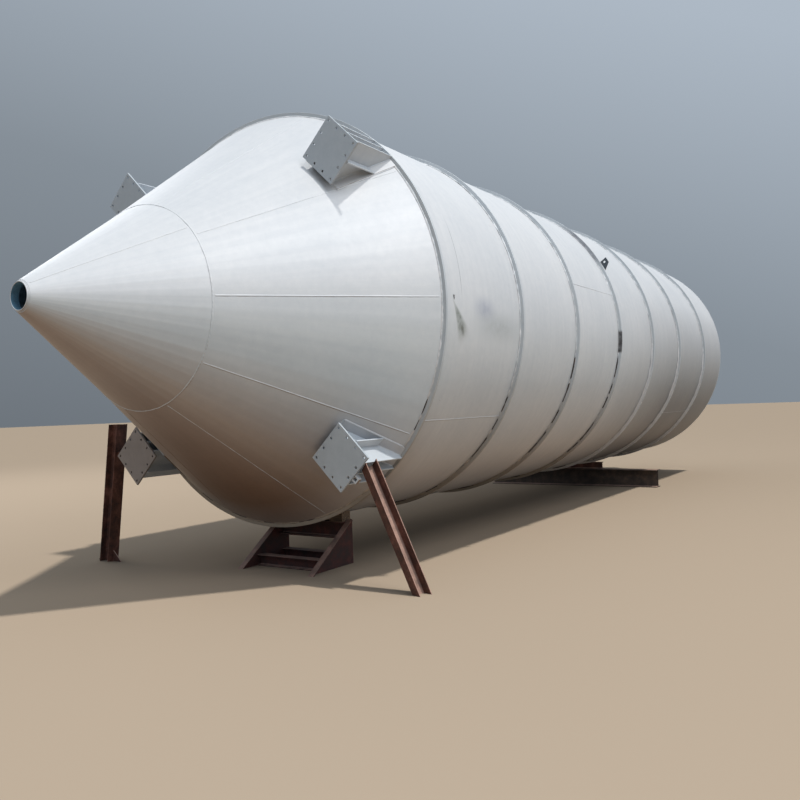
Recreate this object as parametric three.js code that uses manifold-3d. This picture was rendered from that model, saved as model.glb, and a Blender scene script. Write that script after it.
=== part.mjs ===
// Welded steel cement silo, lying on its side on its workshop supports.
//
// The silo's axis is level and runs along X: the outlet end of the hopper points to -X and the
// roof to +X. Z is up. The near side, which the photograph shows, faces -Y.
// The origin is on the ground, below the middle of the whole length.
// All lengths are in millimetres.

import * as THREE from 'three';
import { mergeVertices } from 'three/addons/utils/BufferGeometryUtils.js';
import Module from 'manifold-3d';

const wasm = await Module();
wasm.setup();

// Shell
const SHELL_RADIUS = 1875;
const SHELL_WALL = 6;
const COURSE_HEIGHT = 1500;
const SIXTH_COURSE_HEIGHT = 1720;
const LAST_COURSE_HEIGHT = 1480;
const AXIS_HEIGHT = 2270;

// Hopper: two rolled cone courses and a plain pipe outlet
const UPPER_CONE_LENGTH = 1465;
const LOWER_CONE_LENGTH = 985;
const CONE_SEAM_RADIUS = 803;
const CONE_WALL = 8;
const OUTLET_RADIUS = 102;
const OUTLET_WALL = 7;
const OUTLET_STAND_OUT = 14;
const OUTLET_PIPE_LENGTH = 60;

// Stiffening rings: flat bar rolled on edge and welded round the shell
const RING_HEIGHT = 39;
const RING_THICKNESS = 25;

// Roof
const ROOF_PITCH_DEGREES = 10;
const ROOF_PLATE = 6;
const COVER_PLATE = 12;
const COVER_LIP = 50;
const FILTER_COLLAR = { radius: 450, height: 80, offset: 0 };
const MANHOLE_NECK = { radius: 300, height: 120, offset: 1150 };
const VENT_SPIGOT = { radius: 136, height: 180, offset: -1180, lip: 45, lipThickness: 10 };

// Leg brackets: four, halfway between the top, bottom and sides of the lying silo
const BRACKET_ANGLES = { near_upper: 45, near_lower: -45, far_upper: 135, far_lower: 225 };
const BASE_PLATE_FACE_X = -568;
const BASE_PLATE_THICKNESS = 20;
const BASE_PLATE_SIDE = 390;
const BASE_PLATE_CENTRE = 1723;
const BOLT_PITCH = 110;
const BOLTS_PER_SIDE = 4;
const BOLT_HOLE_RADIUS = 11;
const BRACKET_PLATE = 12;
const PAD_THICKNESS = 10;
const WEB_SPACING = 120;
const WEB_OUTER_EDGE = 1908;
const INNER_FLANGE_LEVEL = 1736;
const INNER_FLANGE_WIDTH = 410;
const PAD_WIDTH = 416;
const PAD_FRONT_X = -485;
const SLEEVE = { side: 56, wall: 13, length: 40, along: -29 };

// Lifting lug between the fourth and fifth rings
const LUG_X = 4740;
const LUG_ANGLE_DEGREES = 30;
const LUG_BASE = { lower: -57, upper: 70 };
const LUG_TOP = { lower: 4, upper: 78 };
const LUG_HEIGHT = 88;
const LUG_THICKNESS = 16;
const LUG_HOLE = { radius: 16, along: 39, height: 42 };

// Workshop supports
const NEAR_PROP = {
  section: { depth: 120, width: 80, web: 8, flange: 8 },
  foot: new THREE.Vector3(-398, -1804, -AXIS_HEIGHT),
  head: new THREE.Vector3(-440, -1395, -1313),
  rollDegrees: -17,
};
const FAR_PROP = {
  section: { depth: 125, width: 125, web: 6.5, flange: 9 },
  foot: new THREE.Vector3(-485, 1783, -AXIS_HEIGHT),
  head: new THREE.Vector3(-485, 1579, -912),
};
const FAR_PROP_GUSSET = { thickness: 10, height: 120, nearReach: 130, farReach: 90 };
const FAR_PROP_TIE = { side: 60, x: -490, z: -1210 };
const REAR_BEAM = { depth: 282, width: 200, web: 8, flange: 12, x: 7550, length: 2940 };
const REAR_PACKING = { width: 100, web: 6, flange: 8, x: 7580, length: 1080 };
const STOOL_BEAM = { depth: 150, width: 150, web: 7, flange: 10, x: 325 };
const STOOL_RUNNER = { depth: 100, width: 100, web: 6, flange: 8, frontX: -10, rearX: 345 };
const STOOL_NEAR_END = -600;
const STOOL_FAR_END = 190;
const STOOL_PLATE = { thickness: 12, toeX: -254, backX: 400, splay: 1.431, nearHeight: 408, farHeight: 390 };
const STOOL_BRACE = { thickness: 10, width: 50 };
const CHOCK = { x0: 262, x1: 388, length: 147 };

// Fits and facets
const GAP = 0.3;
const FACETS = 72;
const SMALL_FACETS = 36;
const HOLE_FACETS = 12;

const courseHeights = [
  COURSE_HEIGHT, COURSE_HEIGHT, COURSE_HEIGHT, COURSE_HEIGHT, COURSE_HEIGHT,
  SIXTH_COURSE_HEIGHT, LAST_COURSE_HEIGHT,
];
const courseStarts = courseHeights.map((height, i) => courseHeights.slice(0, i).reduce((a, b) => a + b, 0));
const shellLength = courseHeights.reduce((a, b) => a + b, 0);
const coneSlope = (SHELL_RADIUS - CONE_SEAM_RADIUS) / UPPER_CONE_LENGTH;
const roofSlope = Math.tan(THREE.MathUtils.degToRad(ROOF_PITCH_DEGREES));
const basePlateBack = BASE_PLATE_FACE_X + BASE_PLATE_THICKNESS;
const ringRadius = SHELL_RADIUS + RING_HEIGHT;
const shellFlat = SHELL_RADIUS * Math.cos(Math.PI / FACETS);

const silverPaint = new THREE.MeshStandardMaterial({ color: 0xb9bec6, roughness: 0.42, metalness: 0.6 });
const darkOpening = new THREE.MeshStandardMaterial({ color: 0x59606a, roughness: 0.6, metalness: 0.4 });
const rustySteel = new THREE.MeshStandardMaterial({ color: 0x6b4438, roughness: 0.85, metalness: 0.2 });
const primerSteel = new THREE.MeshStandardMaterial({ color: 0x4a2422, roughness: 0.8, metalness: 0.1 });
const bareSteel = new THREE.MeshStandardMaterial({ color: 0x55585c, roughness: 0.6, metalness: 0.7 });
const packingTimber = new THREE.MeshStandardMaterial({ color: 0x6a5643, roughness: 0.9, metalness: 0 });

// The silo hangs in a group whose origin is on its axis, at the joint of hopper and cylinder.
const silo = new THREE.Group();

function add(parent, name, geometry, material) {
  const mesh = new THREE.Mesh(geometry, material);
  mesh.name = name;
  parent.add(mesh);
  return mesh;
}

function signedVolume(geometry) {
  const at = geometry.getAttribute('position');
  const index = geometry.getIndex();
  const a = new THREE.Vector3();
  const b = new THREE.Vector3();
  const c = new THREE.Vector3();
  let volume = 0;
  for (let i = 0; i < index.count; i += 3) {
    a.fromBufferAttribute(at, index.getX(i));
    b.fromBufferAttribute(at, index.getX(i + 1));
    c.fromBufferAttribute(at, index.getX(i + 2));
    volume += a.dot(b.cross(c)) / 6;
  }
  return volume;
}

// Merges shared corners, drops slivers that have collapsed, and turns the faces outwards.
function closedBody(geometry) {
  const plain = geometry.clone();
  plain.deleteAttribute('normal');
  plain.deleteAttribute('uv');
  const merged = mergeVertices(plain, 1e-3);
  const index = merged.getIndex();
  const kept = [];
  for (let i = 0; i < index.count; i += 3) {
    const corners = [index.getX(i), index.getX(i + 1), index.getX(i + 2)];
    if (new Set(corners).size === 3) kept.push(...corners);
  }
  merged.setIndex(kept);
  if (signedVolume(merged) < 0) {
    const turned = [];
    for (let i = 0; i < kept.length; i += 3) turned.push(kept[i], kept[i + 2], kept[i + 1]);
    merged.setIndex(turned);
  }
  return merged;
}

function toSolid(geometry) {
  const body = closedBody(geometry);
  const mesh = new wasm.Mesh({
    numProp: 3,
    vertProperties: new Float32Array(body.getAttribute('position').array),
    triVerts: new Uint32Array(body.getIndex().array),
  });
  return new wasm.Manifold(mesh);
}

function toGeometry(solid) {
  const mesh = solid.getMesh();
  const geometry = new THREE.BufferGeometry();
  geometry.setAttribute('position', new THREE.BufferAttribute(new Float32Array(mesh.vertProperties), 3));
  geometry.setIndex(new THREE.BufferAttribute(new Uint32Array(mesh.triVerts), 1));
  return geometry;
}

// Turns a profile of [x, radius] points round the X axis. Flats, not corners, face +-Y and +-Z.
function turned(profile, facets = FACETS) {
  const points = profile.map(([x, radius]) => new THREE.Vector2(radius, x));
  const geometry = new THREE.LatheGeometry(points, facets, Math.PI / facets, Math.PI * 2);
  geometry.rotateZ(-Math.PI / 2);
  return closedBody(geometry);
}

// A ring or tube between two radii, from x0 to x1.
function tube(x0, x1, inner, outer, facets = FACETS) {
  return turned([[x0, inner], [x0, outer], [x1, outer], [x1, inner], [x0, inner]], facets);
}

// A round bar or disc from x0 to x1.
function disc(x0, x1, radius, facets = FACETS) {
  return turned([[x0, 0], [x0, radius], [x1, radius], [x1, 0]], facets);
}

// The turn about X that brings local +Z to point out of the silo at an angle above the near side.
function turnFor(angle) {
  return THREE.MathUtils.degToRad(90 - angle);
}

function block(x0, x1, y0, y1, z0, z1) {
  const geometry = new THREE.BoxGeometry(x1 - x0, y1 - y0, z1 - z0);
  geometry.translate((x0 + x1) / 2, (y0 + y1) / 2, (z0 + z1) / 2);
  return geometry;
}

// An H-section bar along +Z from 0 to length, with its web in the Y-Z plane and flanges facing +-Y.
function sectionBar({ depth, width, web, flange }, length) {
  const shape = new THREE.Shape();
  const d = depth / 2;
  const w = width / 2;
  const t = web / 2;
  shape.moveTo(-w, -d);
  shape.lineTo(w, -d);
  shape.lineTo(w, -d + flange);
  shape.lineTo(t, -d + flange);
  shape.lineTo(t, d - flange);
  shape.lineTo(w, d - flange);
  shape.lineTo(w, d);
  shape.lineTo(-w, d);
  shape.lineTo(-w, d - flange);
  shape.lineTo(-t, d - flange);
  shape.lineTo(-t, -d + flange);
  shape.lineTo(-w, -d + flange);
  shape.closePath();
  return new THREE.ExtrudeGeometry(shape, { depth: length, bevelEnabled: false });
}

// A channel along +Z from 0 to length, with its web at y = 0, its flanges facing +-X and open to -Y.
function channelBar({ depth, width, web, flange }, length) {
  const h = depth / 2;
  const shape = new THREE.Shape();
  shape.moveTo(-h, 0);
  shape.lineTo(-h, -width);
  shape.lineTo(-h + flange, -width);
  shape.lineTo(-h + flange, -web);
  shape.lineTo(h - flange, -web);
  shape.lineTo(h - flange, -width);
  shape.lineTo(h, -width);
  shape.lineTo(h, 0);
  shape.closePath();
  return new THREE.ExtrudeGeometry(shape, { depth: length, bevelEnabled: false });
}

// Hopper

function addHopper() {
  const lowerEnd = -UPPER_CONE_LENGTH;
  const outletFace = lowerEnd - LOWER_CONE_LENGTH - OUTLET_STAND_OUT;
  const lowerStart = outletFace + OUTLET_STAND_OUT;
  const upperWall = CONE_WALL * Math.hypot(1, coneSlope);
  const mouth = OUTLET_RADIUS + GAP;
  const lowerSlope = (CONE_SEAM_RADIUS - mouth - upperWall) / LOWER_CONE_LENGTH;
  const lowerWall = CONE_WALL * Math.hypot(1, lowerSlope);

  add(silo, 'outlet_pipe',
    tube(outletFace, outletFace + OUTLET_PIPE_LENGTH, OUTLET_RADIUS - OUTLET_WALL, OUTLET_RADIUS, SMALL_FACETS),
    darkOpening);
  add(silo, 'lower_cone', turned([
    [lowerStart, mouth],
    [lowerStart, mouth + lowerWall],
    [lowerEnd - GAP, CONE_SEAM_RADIUS],
    [lowerEnd - GAP, CONE_SEAM_RADIUS - lowerWall],
    [lowerStart, mouth],
  ]), silverPaint);
  add(silo, 'upper_cone', turned([
    [lowerEnd, CONE_SEAM_RADIUS - upperWall],
    [lowerEnd, CONE_SEAM_RADIUS],
    [-GAP, SHELL_RADIUS - GAP * coneSlope],
    [-GAP, SHELL_RADIUS - GAP * coneSlope - upperWall],
    [lowerEnd, CONE_SEAM_RADIUS - upperWall],
  ]), silverPaint);
  return outletFace;
}

// Cylinder: seven rolled courses with a ring at each joint

function addShell() {
  courseHeights.forEach((height, i) => {
    const start = courseStarts[i];
    add(silo, `shell_course_${i + 1}`,
      tube(start, start + height - GAP, SHELL_RADIUS - SHELL_WALL, SHELL_RADIUS), silverPaint);
  });
  courseStarts.forEach((start, i) => {
    const name = i === 0 ? 'knuckle_ring' : `stiffener_ring_${i}`;
    add(silo, name, tube(start, start + RING_THICKNESS, SHELL_RADIUS + GAP, ringRadius), silverPaint);
  });
}

// Roof: a shallow cone with a covered filter collar, a covered manhole and an open vent spigot

function roofLevel(radius) {
  return shellLength + GAP + ROOF_PLATE + (SHELL_RADIUS - radius) * roofSlope;
}

function neckTop({ height, offset }) {
  return roofLevel(Math.abs(offset)) + height;
}

// The solid below the roof's outer face, with a gap added, from just inside the shell's end.
function roofBody() {
  const start = shellLength - RING_HEIGHT;
  return turned([
    [start, 0],
    [start, SHELL_RADIUS],
    [roofLevel(SHELL_RADIUS) + GAP, SHELL_RADIUS],
    [roofLevel(0) + GAP, 0],
  ]);
}

function moved(geometry, z) {
  const copy = geometry.clone();
  copy.translate(0, 0, z);
  return copy;
}

// A round neck that stands on the sloping roof and is cut to its slope, with a flat lip if it has one.
function roofNeck(neck) {
  const top = neckTop(neck);
  const inner = neck.radius - ROOF_PLATE;
  const lip = neck.lip ?? 0;
  const profile = [[shellLength, inner], [shellLength, neck.radius]];
  if (lip > 0) {
    profile.push([top - neck.lipThickness, neck.radius], [top - neck.lipThickness, neck.radius + lip]);
  }
  profile.push([top, neck.radius + lip], [top, inner], [shellLength, inner]);
  const body = moved(turned(profile, SMALL_FACETS), neck.offset);
  return toGeometry(toSolid(body).subtract(toSolid(roofBody())));
}

function neckCover(neck) {
  const start = neckTop(neck) + GAP;
  return moved(disc(start, start + COVER_PLATE, neck.radius + COVER_LIP, SMALL_FACETS), neck.offset);
}

function addRoof() {
  const plate = turned([
    [roofLevel(0) - ROOF_PLATE, 0],
    [shellLength + GAP, SHELL_RADIUS],
    [roofLevel(SHELL_RADIUS), SHELL_RADIUS],
    [roofLevel(0), 0],
  ]);
  let drilled = toSolid(plate);
  for (const neck of [FILTER_COLLAR, MANHOLE_NECK, VENT_SPIGOT]) {
    const hole = disc(shellLength - RING_HEIGHT, neckTop(neck), neck.radius - ROOF_PLATE, SMALL_FACETS);
    drilled = drilled.subtract(toSolid(moved(hole, neck.offset)));
  }
  add(silo, 'roof_plate', toGeometry(drilled), silverPaint);
  add(silo, 'filter_collar', roofNeck(FILTER_COLLAR), silverPaint);
  add(silo, 'filter_cover', neckCover(FILTER_COLLAR), silverPaint);
  add(silo, 'manhole_neck', roofNeck(MANHOLE_NECK), silverPaint);
  add(silo, 'manhole_cover', neckCover(MANHOLE_NECK), silverPaint);
  add(silo, 'vent_spigot', roofNeck(VENT_SPIGOT), silverPaint);
  return neckTop(FILTER_COLLAR) + GAP + COVER_PLATE;
}

// Leg brackets, in a frame whose Z points out from the silo's axis and whose Y runs round it

// The upper cone as a solid, thickened outwards by grow, carried on past the brackets.
function coneBody(grow) {
  const out = grow * Math.hypot(1, coneSlope);
  return turned([
    [-UPPER_CONE_LENGTH, 0],
    [-UPPER_CONE_LENGTH, CONE_SEAM_RADIUS + out],
    [0, SHELL_RADIUS + out],
    [0, 0],
  ]);
}

function basePlate() {
  const half = BASE_PLATE_SIDE / 2;
  const shape = new THREE.Shape();
  shape.moveTo(-half, -half);
  shape.lineTo(half, -half);
  shape.lineTo(half, half);
  shape.lineTo(-half, half);
  shape.closePath();
  const reach = BOLT_PITCH * (BOLTS_PER_SIDE - 1) / 2;
  for (let i = 0; i < BOLTS_PER_SIDE; i += 1) {
    for (let j = 0; j < BOLTS_PER_SIDE; j += 1) {
      const onEdge = i === 0 || j === 0 || i === BOLTS_PER_SIDE - 1 || j === BOLTS_PER_SIDE - 1;
      if (!onEdge) continue;
      const hole = new THREE.Path();
      hole.absarc(-reach + i * BOLT_PITCH, -reach + j * BOLT_PITCH, BOLT_HOLE_RADIUS, 0, Math.PI * 2, true);
      shape.holes.push(hole);
    }
  }
  const plate = new THREE.ExtrudeGeometry(shape, {
    depth: BASE_PLATE_THICKNESS, bevelEnabled: false, curveSegments: HOLE_FACETS / 2,
  });
  plate.rotateY(Math.PI / 2);
  plate.translate(BASE_PLATE_FACE_X, 0, BASE_PLATE_CENTRE);
  return closedBody(plate);
}

// A plate rolled to the cone, under the bracket.
function bracketPad() {
  const half = PAD_WIDTH / 2;
  const zone = block(PAD_FRONT_X, -GAP, -half, half, CONE_SEAM_RADIUS, SHELL_RADIUS);
  const pad = toSolid(coneBody(PAD_THICKNESS + GAP)).subtract(toSolid(coneBody(GAP)));
  return toGeometry(pad.intersect(toSolid(zone)));
}

// Three webs from the base plate's inner edge outwards, and the inner flange that crosses them, welded
// together and cut to the cone and the pad.
function bracketWebs() {
  const half = INNER_FLANGE_WIDTH / 2;
  const t = BRACKET_PLATE / 2;
  const start = basePlateBack + GAP;
  const innerEdge = BASE_PLATE_CENTRE - BASE_PLATE_SIDE / 2;
  let webs = toSolid(block(start, -GAP, -half, half, INNER_FLANGE_LEVEL, INNER_FLANGE_LEVEL + BRACKET_PLATE));
  for (const side of [-1, 0, 1]) {
    const y = side * WEB_SPACING;
    webs = webs.add(toSolid(block(start, -GAP, y - t, y + t, innerEdge, WEB_OUTER_EDGE)));
  }
  const underPad = block(PAD_FRONT_X - GAP, 0, -SHELL_RADIUS, SHELL_RADIUS, 0, 2 * SHELL_RADIUS);
  const raised = toSolid(coneBody(PAD_THICKNESS + 2 * GAP)).intersect(toSolid(underPad));
  return toGeometry(webs.subtract(toSolid(coneBody(GAP))).subtract(raised));
}

// A short square sleeve on the outer edge of the near lower bracket's middle web.
function bracketSleeve() {
  const { side, wall, length, along } = SLEEVE;
  const x0 = basePlateBack + GAP;
  const z0 = WEB_OUTER_EDGE + GAP;
  const outside = block(x0, x0 + length, along - side / 2, along + side / 2, z0, z0 + side);
  const inside = block(x0 - side, x0 + length + side,
    along - side / 2 + wall, along + side / 2 - wall, z0 + wall, z0 + side - wall);
  return toGeometry(toSolid(outside).subtract(toSolid(inside)));
}

function addBrackets() {
  const plate = basePlate();
  const pad = bracketPad();
  const webs = bracketWebs();
  for (const [place, angle] of Object.entries(BRACKET_ANGLES)) {
    const bracket = new THREE.Group();
    bracket.rotation.x = turnFor(angle);
    if (place === 'near_lower') add(bracket, 'bracket_sleeve', bracketSleeve(), silverPaint);
    add(bracket, `base_plate_${place}`, plate, silverPaint);
    add(bracket, `bracket_pad_${place}`, pad, silverPaint);
    add(bracket, `bracket_webs_${place}`, webs, silverPaint);
    silo.add(bracket);
  }
}

// Lifting lug: a small plate with a hole, standing across the shell on the middle of one facet

function addLug() {
  const shape = new THREE.Shape();
  shape.moveTo(LUG_BASE.lower, 0);
  shape.lineTo(LUG_BASE.upper, 0);
  shape.lineTo(LUG_TOP.upper, LUG_HEIGHT);
  shape.lineTo(LUG_TOP.lower, LUG_HEIGHT);
  shape.closePath();
  const hole = new THREE.Path();
  hole.absarc(LUG_HOLE.along, LUG_HOLE.height, LUG_HOLE.radius, 0, Math.PI * 2, true);
  shape.holes.push(hole);
  const plate = new THREE.ExtrudeGeometry(shape, {
    depth: LUG_THICKNESS, bevelEnabled: false, curveSegments: HOLE_FACETS / 2,
  });
  plate.rotateX(Math.PI / 2);
  plate.rotateZ(Math.PI / 2);
  plate.translate(LUG_X, 0, shellFlat + GAP);
  const stand = new THREE.Group();
  stand.rotation.x = turnFor(LUG_ANGLE_DEGREES);
  add(stand, 'lifting_lug', closedBody(plate), bareSteel);
  silo.add(stand);
}

// Workshop supports, in the silo's group, so that the ground is at z = -AXIS_HEIGHT

// Stands a bar that runs along +Z from the foot towards the head, turned about its own length by roll.
function leaning(geometry, foot, head, roll = 0) {
  const z = new THREE.Vector3().subVectors(head, foot).normalize();
  const x = new THREE.Vector3(1, 0, 0).addScaledVector(z, -z.x).normalize();
  const y = new THREE.Vector3().crossVectors(z, x);
  const placed = geometry.clone();
  placed.rotateZ(roll);
  placed.applyMatrix4(new THREE.Matrix4().makeBasis(x, y, z));
  placed.translate(foot.x, foot.y, foot.z);
  return placed;
}

// The same bar, lengthened past both ends by reach so that it can be cut there.
function lengthened(shape, { foot, head, rollDegrees = 0 }, reach) {
  const length = head.distanceTo(foot) + 2 * reach;
  const along = new THREE.Vector3().subVectors(head, foot).normalize();
  const low = foot.clone().addScaledVector(along, -reach);
  return leaning(shape(length), low, head, THREE.MathUtils.degToRad(rollDegrees));
}

function aboveGround(solid) {
  const reach = 3 * SHELL_RADIUS;
  return solid.subtract(toSolid(block(-reach, reach, -reach, reach, -AXIS_HEIGHT - reach, -AXIS_HEIGHT)));
}

// The near prop leans in under the near lower bracket and is cut to the webs' outer edges.
function addNearProp() {
  const { section } = NEAR_PROP;
  const bar = toSolid(lengthened((length) => channelBar(section, length), NEAR_PROP, section.depth));
  const inside = block(-SHELL_RADIUS, SHELL_RADIUS, -SHELL_RADIUS, SHELL_RADIUS, 0, WEB_OUTER_EDGE + GAP);
  inside.rotateX(turnFor(BRACKET_ANGLES.near_lower));
  add(silo, 'near_prop', toGeometry(aboveGround(bar).subtract(toSolid(inside))), rustySteel);
}

// A three-cornered plate at the far prop's foot, from the post's middle out past its flange by reach along Y.
function footGusset(reach, side) {
  const { section, foot } = FAR_PROP;
  const { thickness, height } = FAR_PROP_GUSSET;
  const flange = section.depth / 2;
  const shape = new THREE.Shape();
  shape.moveTo(0, 0);
  shape.lineTo(side * (flange + reach), 0);
  shape.lineTo(side * flange, height);
  shape.lineTo(0, height);
  shape.closePath();
  const plate = new THREE.ExtrudeGeometry(shape, { depth: thickness, bevelEnabled: false });
  plate.rotateX(Math.PI / 2);
  plate.rotateZ(Math.PI / 2);
  plate.translate(foot.x - thickness / 2, foot.y, foot.z);
  return toSolid(plate);
}

// The far prop stands just outside the far lower bracket. A short tie joins it to the outer web.
function addFarProp() {
  const { section, foot, head } = FAR_PROP;
  const past = head.clone().addScaledVector(new THREE.Vector3().subVectors(head, foot).normalize(), section.depth);
  const above = block(-SHELL_RADIUS, SHELL_RADIUS, 0, 2 * SHELL_RADIUS, head.z, past.z + section.depth);
  const bar = toSolid(lengthened((length) => sectionBar(section, length), FAR_PROP, section.depth));
  const { nearReach, farReach } = FAR_PROP_GUSSET;
  const gussets = footGusset(nearReach, -1).add(footGusset(farReach, 1));
  add(silo, 'far_prop', toGeometry(aboveGround(bar.add(gussets)).subtract(toSolid(above))), rustySteel);

  const { side, x, z } = FAR_PROP_TIE;
  const tie = block(x - side / 2, x + side / 2, 0, foot.y, z - side / 2, z + side / 2);
  const web = block(-SHELL_RADIUS, SHELL_RADIUS, -WEB_SPACING - BRACKET_PLATE / 2 - GAP, SHELL_RADIUS,
    -SHELL_RADIUS, 2 * SHELL_RADIUS);
  web.rotateX(turnFor(BRACKET_ANGLES.far_lower));
  const outside = { depth: section.depth + 2 * GAP, width: section.width + 2 * GAP };
  const post = lengthened((length) => block(-outside.width / 2, outside.width / 2,
    -outside.depth / 2, SHELL_RADIUS, 0, length), FAR_PROP, section.depth);
  add(silo, 'far_prop_tie', toGeometry(toSolid(tie).subtract(toSolid(web)).subtract(toSolid(post))), rustySteel);
}

// A bar of the given section that lies along Y between y0 and y1, with its underside at level z.
function crossBar(section, x, y0, y1, z) {
  const bar = sectionBar(section, y1 - y0);
  bar.rotateX(-Math.PI / 2);
  bar.translate(x, y0, z + section.depth / 2);
  return closedBody(bar);
}

// Rear support: a beam laid across under the fifth ring, with a short lighter beam packed on top
function addRearSupport() {
  const half = REAR_BEAM.length / 2;
  add(silo, 'rear_cross_beam', crossBar(REAR_BEAM, REAR_BEAM.x, -half, half, -AXIS_HEIGHT), primerSteel);
  const bottom = -AXIS_HEIGHT + REAR_BEAM.depth + GAP;
  const packing = { ...REAR_PACKING, depth: -shellFlat - GAP - bottom };
  const reach = REAR_PACKING.length / 2;
  add(silo, 'rear_packing', crossBar(packing, REAR_PACKING.x, -reach, reach, bottom), rustySteel);
}

// One end plate of the stool with the sloping brace on its outer side, in the X-Z plane at y = 0.
function stoolEnd(height, outward) {
  const { thickness, toeX, backX, splay } = STOOL_PLATE;
  const foot = -AXIS_HEIGHT;
  const top = foot + height;
  const plate = new THREE.Shape();
  plate.moveTo(toeX, foot);
  plate.lineTo(backX, foot);
  plate.lineTo(backX, top);
  plate.lineTo(toeX + splay * height, top);
  plate.closePath();
  const slant = STOOL_BRACE.thickness * Math.hypot(1, splay);
  const brace = new THREE.Shape();
  brace.moveTo(toeX, foot);
  brace.lineTo(toeX + slant, foot);
  brace.lineTo(toeX + slant + splay * height, top);
  brace.lineTo(toeX + splay * height, top);
  brace.closePath();
  const solids = [[plate, thickness], [brace, thickness + STOOL_BRACE.width]].map(([shape, depth]) => {
    const geometry = new THREE.ExtrudeGeometry(shape, { depth, bevelEnabled: false });
    geometry.rotateX(Math.PI / 2);
    geometry.translate(0, outward > 0 ? depth : 0, 0);
    return toSolid(geometry);
  });
  return solids[0].add(solids[1]);
}

// Front support: a low stool pushed across under the silo, just behind the knuckle ring
function addFrontStool() {
  const plate = STOOL_PLATE.thickness;
  const near = stoolEnd(STOOL_PLATE.nearHeight, -1).translate([0, STOOL_NEAR_END + plate, 0]);
  const far = stoolEnd(STOOL_PLATE.farHeight, 1).translate([0, STOOL_FAR_END - plate, 0]);
  const y0 = STOOL_NEAR_END + plate;
  const y1 = STOOL_FAR_END - plate;
  let frame = near.add(far);
  for (const x of [STOOL_RUNNER.frontX, STOOL_RUNNER.rearX]) {
    frame = frame.add(toSolid(crossBar(STOOL_RUNNER, x, y0 - plate / 2, y1 + plate / 2, -AXIS_HEIGHT)));
  }
  add(silo, 'stool_frame', toGeometry(frame), primerSteel);

  const beamTop = -shellFlat - GAP;
  const beam = crossBar(STOOL_BEAM, STOOL_BEAM.x, y0 + GAP, y1 - GAP, beamTop - STOOL_BEAM.depth);
  add(silo, 'stool_beam', beam, primerSteel);

  const chockEnd = y0 + GAP;
  const timber = block(CHOCK.x0, CHOCK.x1, chockEnd, chockEnd + CHOCK.length, beamTop + GAP, 0);
  const shell = disc(CHOCK.x0 - CHOCK.length, CHOCK.x1 + CHOCK.length, SHELL_RADIUS + GAP);
  add(silo, 'stool_chock', toGeometry(toSolid(timber).subtract(toSolid(shell))), packingTimber);
}

const outletFace = addHopper();
addShell();
const roofEnd = addRoof();
addBrackets();
addLug();
addRearSupport();
addFrontStool();
addNearProp();
addFarProp();

silo.position.set(-(outletFace + roofEnd) / 2, 0, AXIS_HEIGHT);
const part = new THREE.Group();
part.add(silo);

export default part;
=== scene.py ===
"""Cement silo of welded steel plate, painted silver, lying on its side on workshop supports."""
import math

import bmesh
import bpy
import numpy as np
from mathutils import Matrix, Vector


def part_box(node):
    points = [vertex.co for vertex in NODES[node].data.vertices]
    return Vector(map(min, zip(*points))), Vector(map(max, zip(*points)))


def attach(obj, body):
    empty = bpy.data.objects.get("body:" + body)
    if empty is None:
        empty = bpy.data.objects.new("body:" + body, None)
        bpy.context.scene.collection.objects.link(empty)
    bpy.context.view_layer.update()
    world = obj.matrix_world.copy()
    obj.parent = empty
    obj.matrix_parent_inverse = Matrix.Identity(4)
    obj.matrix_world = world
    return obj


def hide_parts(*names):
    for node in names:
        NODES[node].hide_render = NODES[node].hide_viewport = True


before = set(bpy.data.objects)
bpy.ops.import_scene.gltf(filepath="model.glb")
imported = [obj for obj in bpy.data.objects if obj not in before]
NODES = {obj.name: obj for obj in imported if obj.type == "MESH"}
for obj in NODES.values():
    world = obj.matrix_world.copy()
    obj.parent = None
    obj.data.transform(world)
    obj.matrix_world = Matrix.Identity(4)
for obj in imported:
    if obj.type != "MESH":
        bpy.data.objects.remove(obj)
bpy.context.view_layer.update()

# All lengths are in metres, angles round the shell in degrees above the near side, which faces -Y.
MM = 0.001

COURSES = [f"shell_course_{i}" for i in range(1, 8)]
RINGS = ["knuckle_ring"] + [f"stiffener_ring_{i}" for i in range(1, 7)]
BRACKETS = {"near_upper": 45, "near_lower": -45, "far_upper": 135, "far_lower": 225}

shell_low, shell_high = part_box("shell_course_1")
AXIS_Z = (shell_low.z + shell_high.z) / 2
SHELL_RADIUS = (shell_high.z - shell_low.z) / 2
KNUCKLE_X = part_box("knuckle_ring")[0].x
CONE_SEAM_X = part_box("upper_cone")[0].x
CONE_SEAM_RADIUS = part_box("lower_cone")[1].z - AXIS_Z
CONE_TIP_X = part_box("lower_cone")[0].x
OUTLET_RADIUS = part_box("outlet_pipe")[1].z - AXIS_Z
ROOF_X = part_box("shell_course_7")[1].x
CONE_SLOPE = (SHELL_RADIUS - CONE_SEAM_RADIUS) / (KNUCKLE_X - CONE_SEAM_X)

SHELL_WALL = 6 * MM
CONE_WALL = 8 * MM
GAP = 0.3 * MM

# Where the plates meet, and the seams that the photograph shows
COURSE_SEAMS = [-30.7, 88, 15.7, 96, -88, -35, 84]
CONE_PETALS = 10
FIRST_PETAL_SEAM = 1.3
LOWER_CONE_SEAMS = [43.5, 223.5]

# Stretches of each ring's front corner that were never welded, as angles from and to
UNWELDED = {
    "knuckle_ring": [(-28.8, -24.4), (-33.4, -30.2)],
    "stiffener_ring_1": [(-29.2, -24.2), (-35.4, -31.6), (-46.3, -38.2), (-66.8, -61.8)],
    "stiffener_ring_2": [(-18.0, -10.5), (-26.6, -19.6), (-35.0, -29.5), (-48.8, -38.5)],
    "stiffener_ring_3": [(-16.9, -9.3), (-23.7, -19.4), (-29.9, -24.9), (-46.0, -36.5), (-53.2, -47.0)],
}


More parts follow.
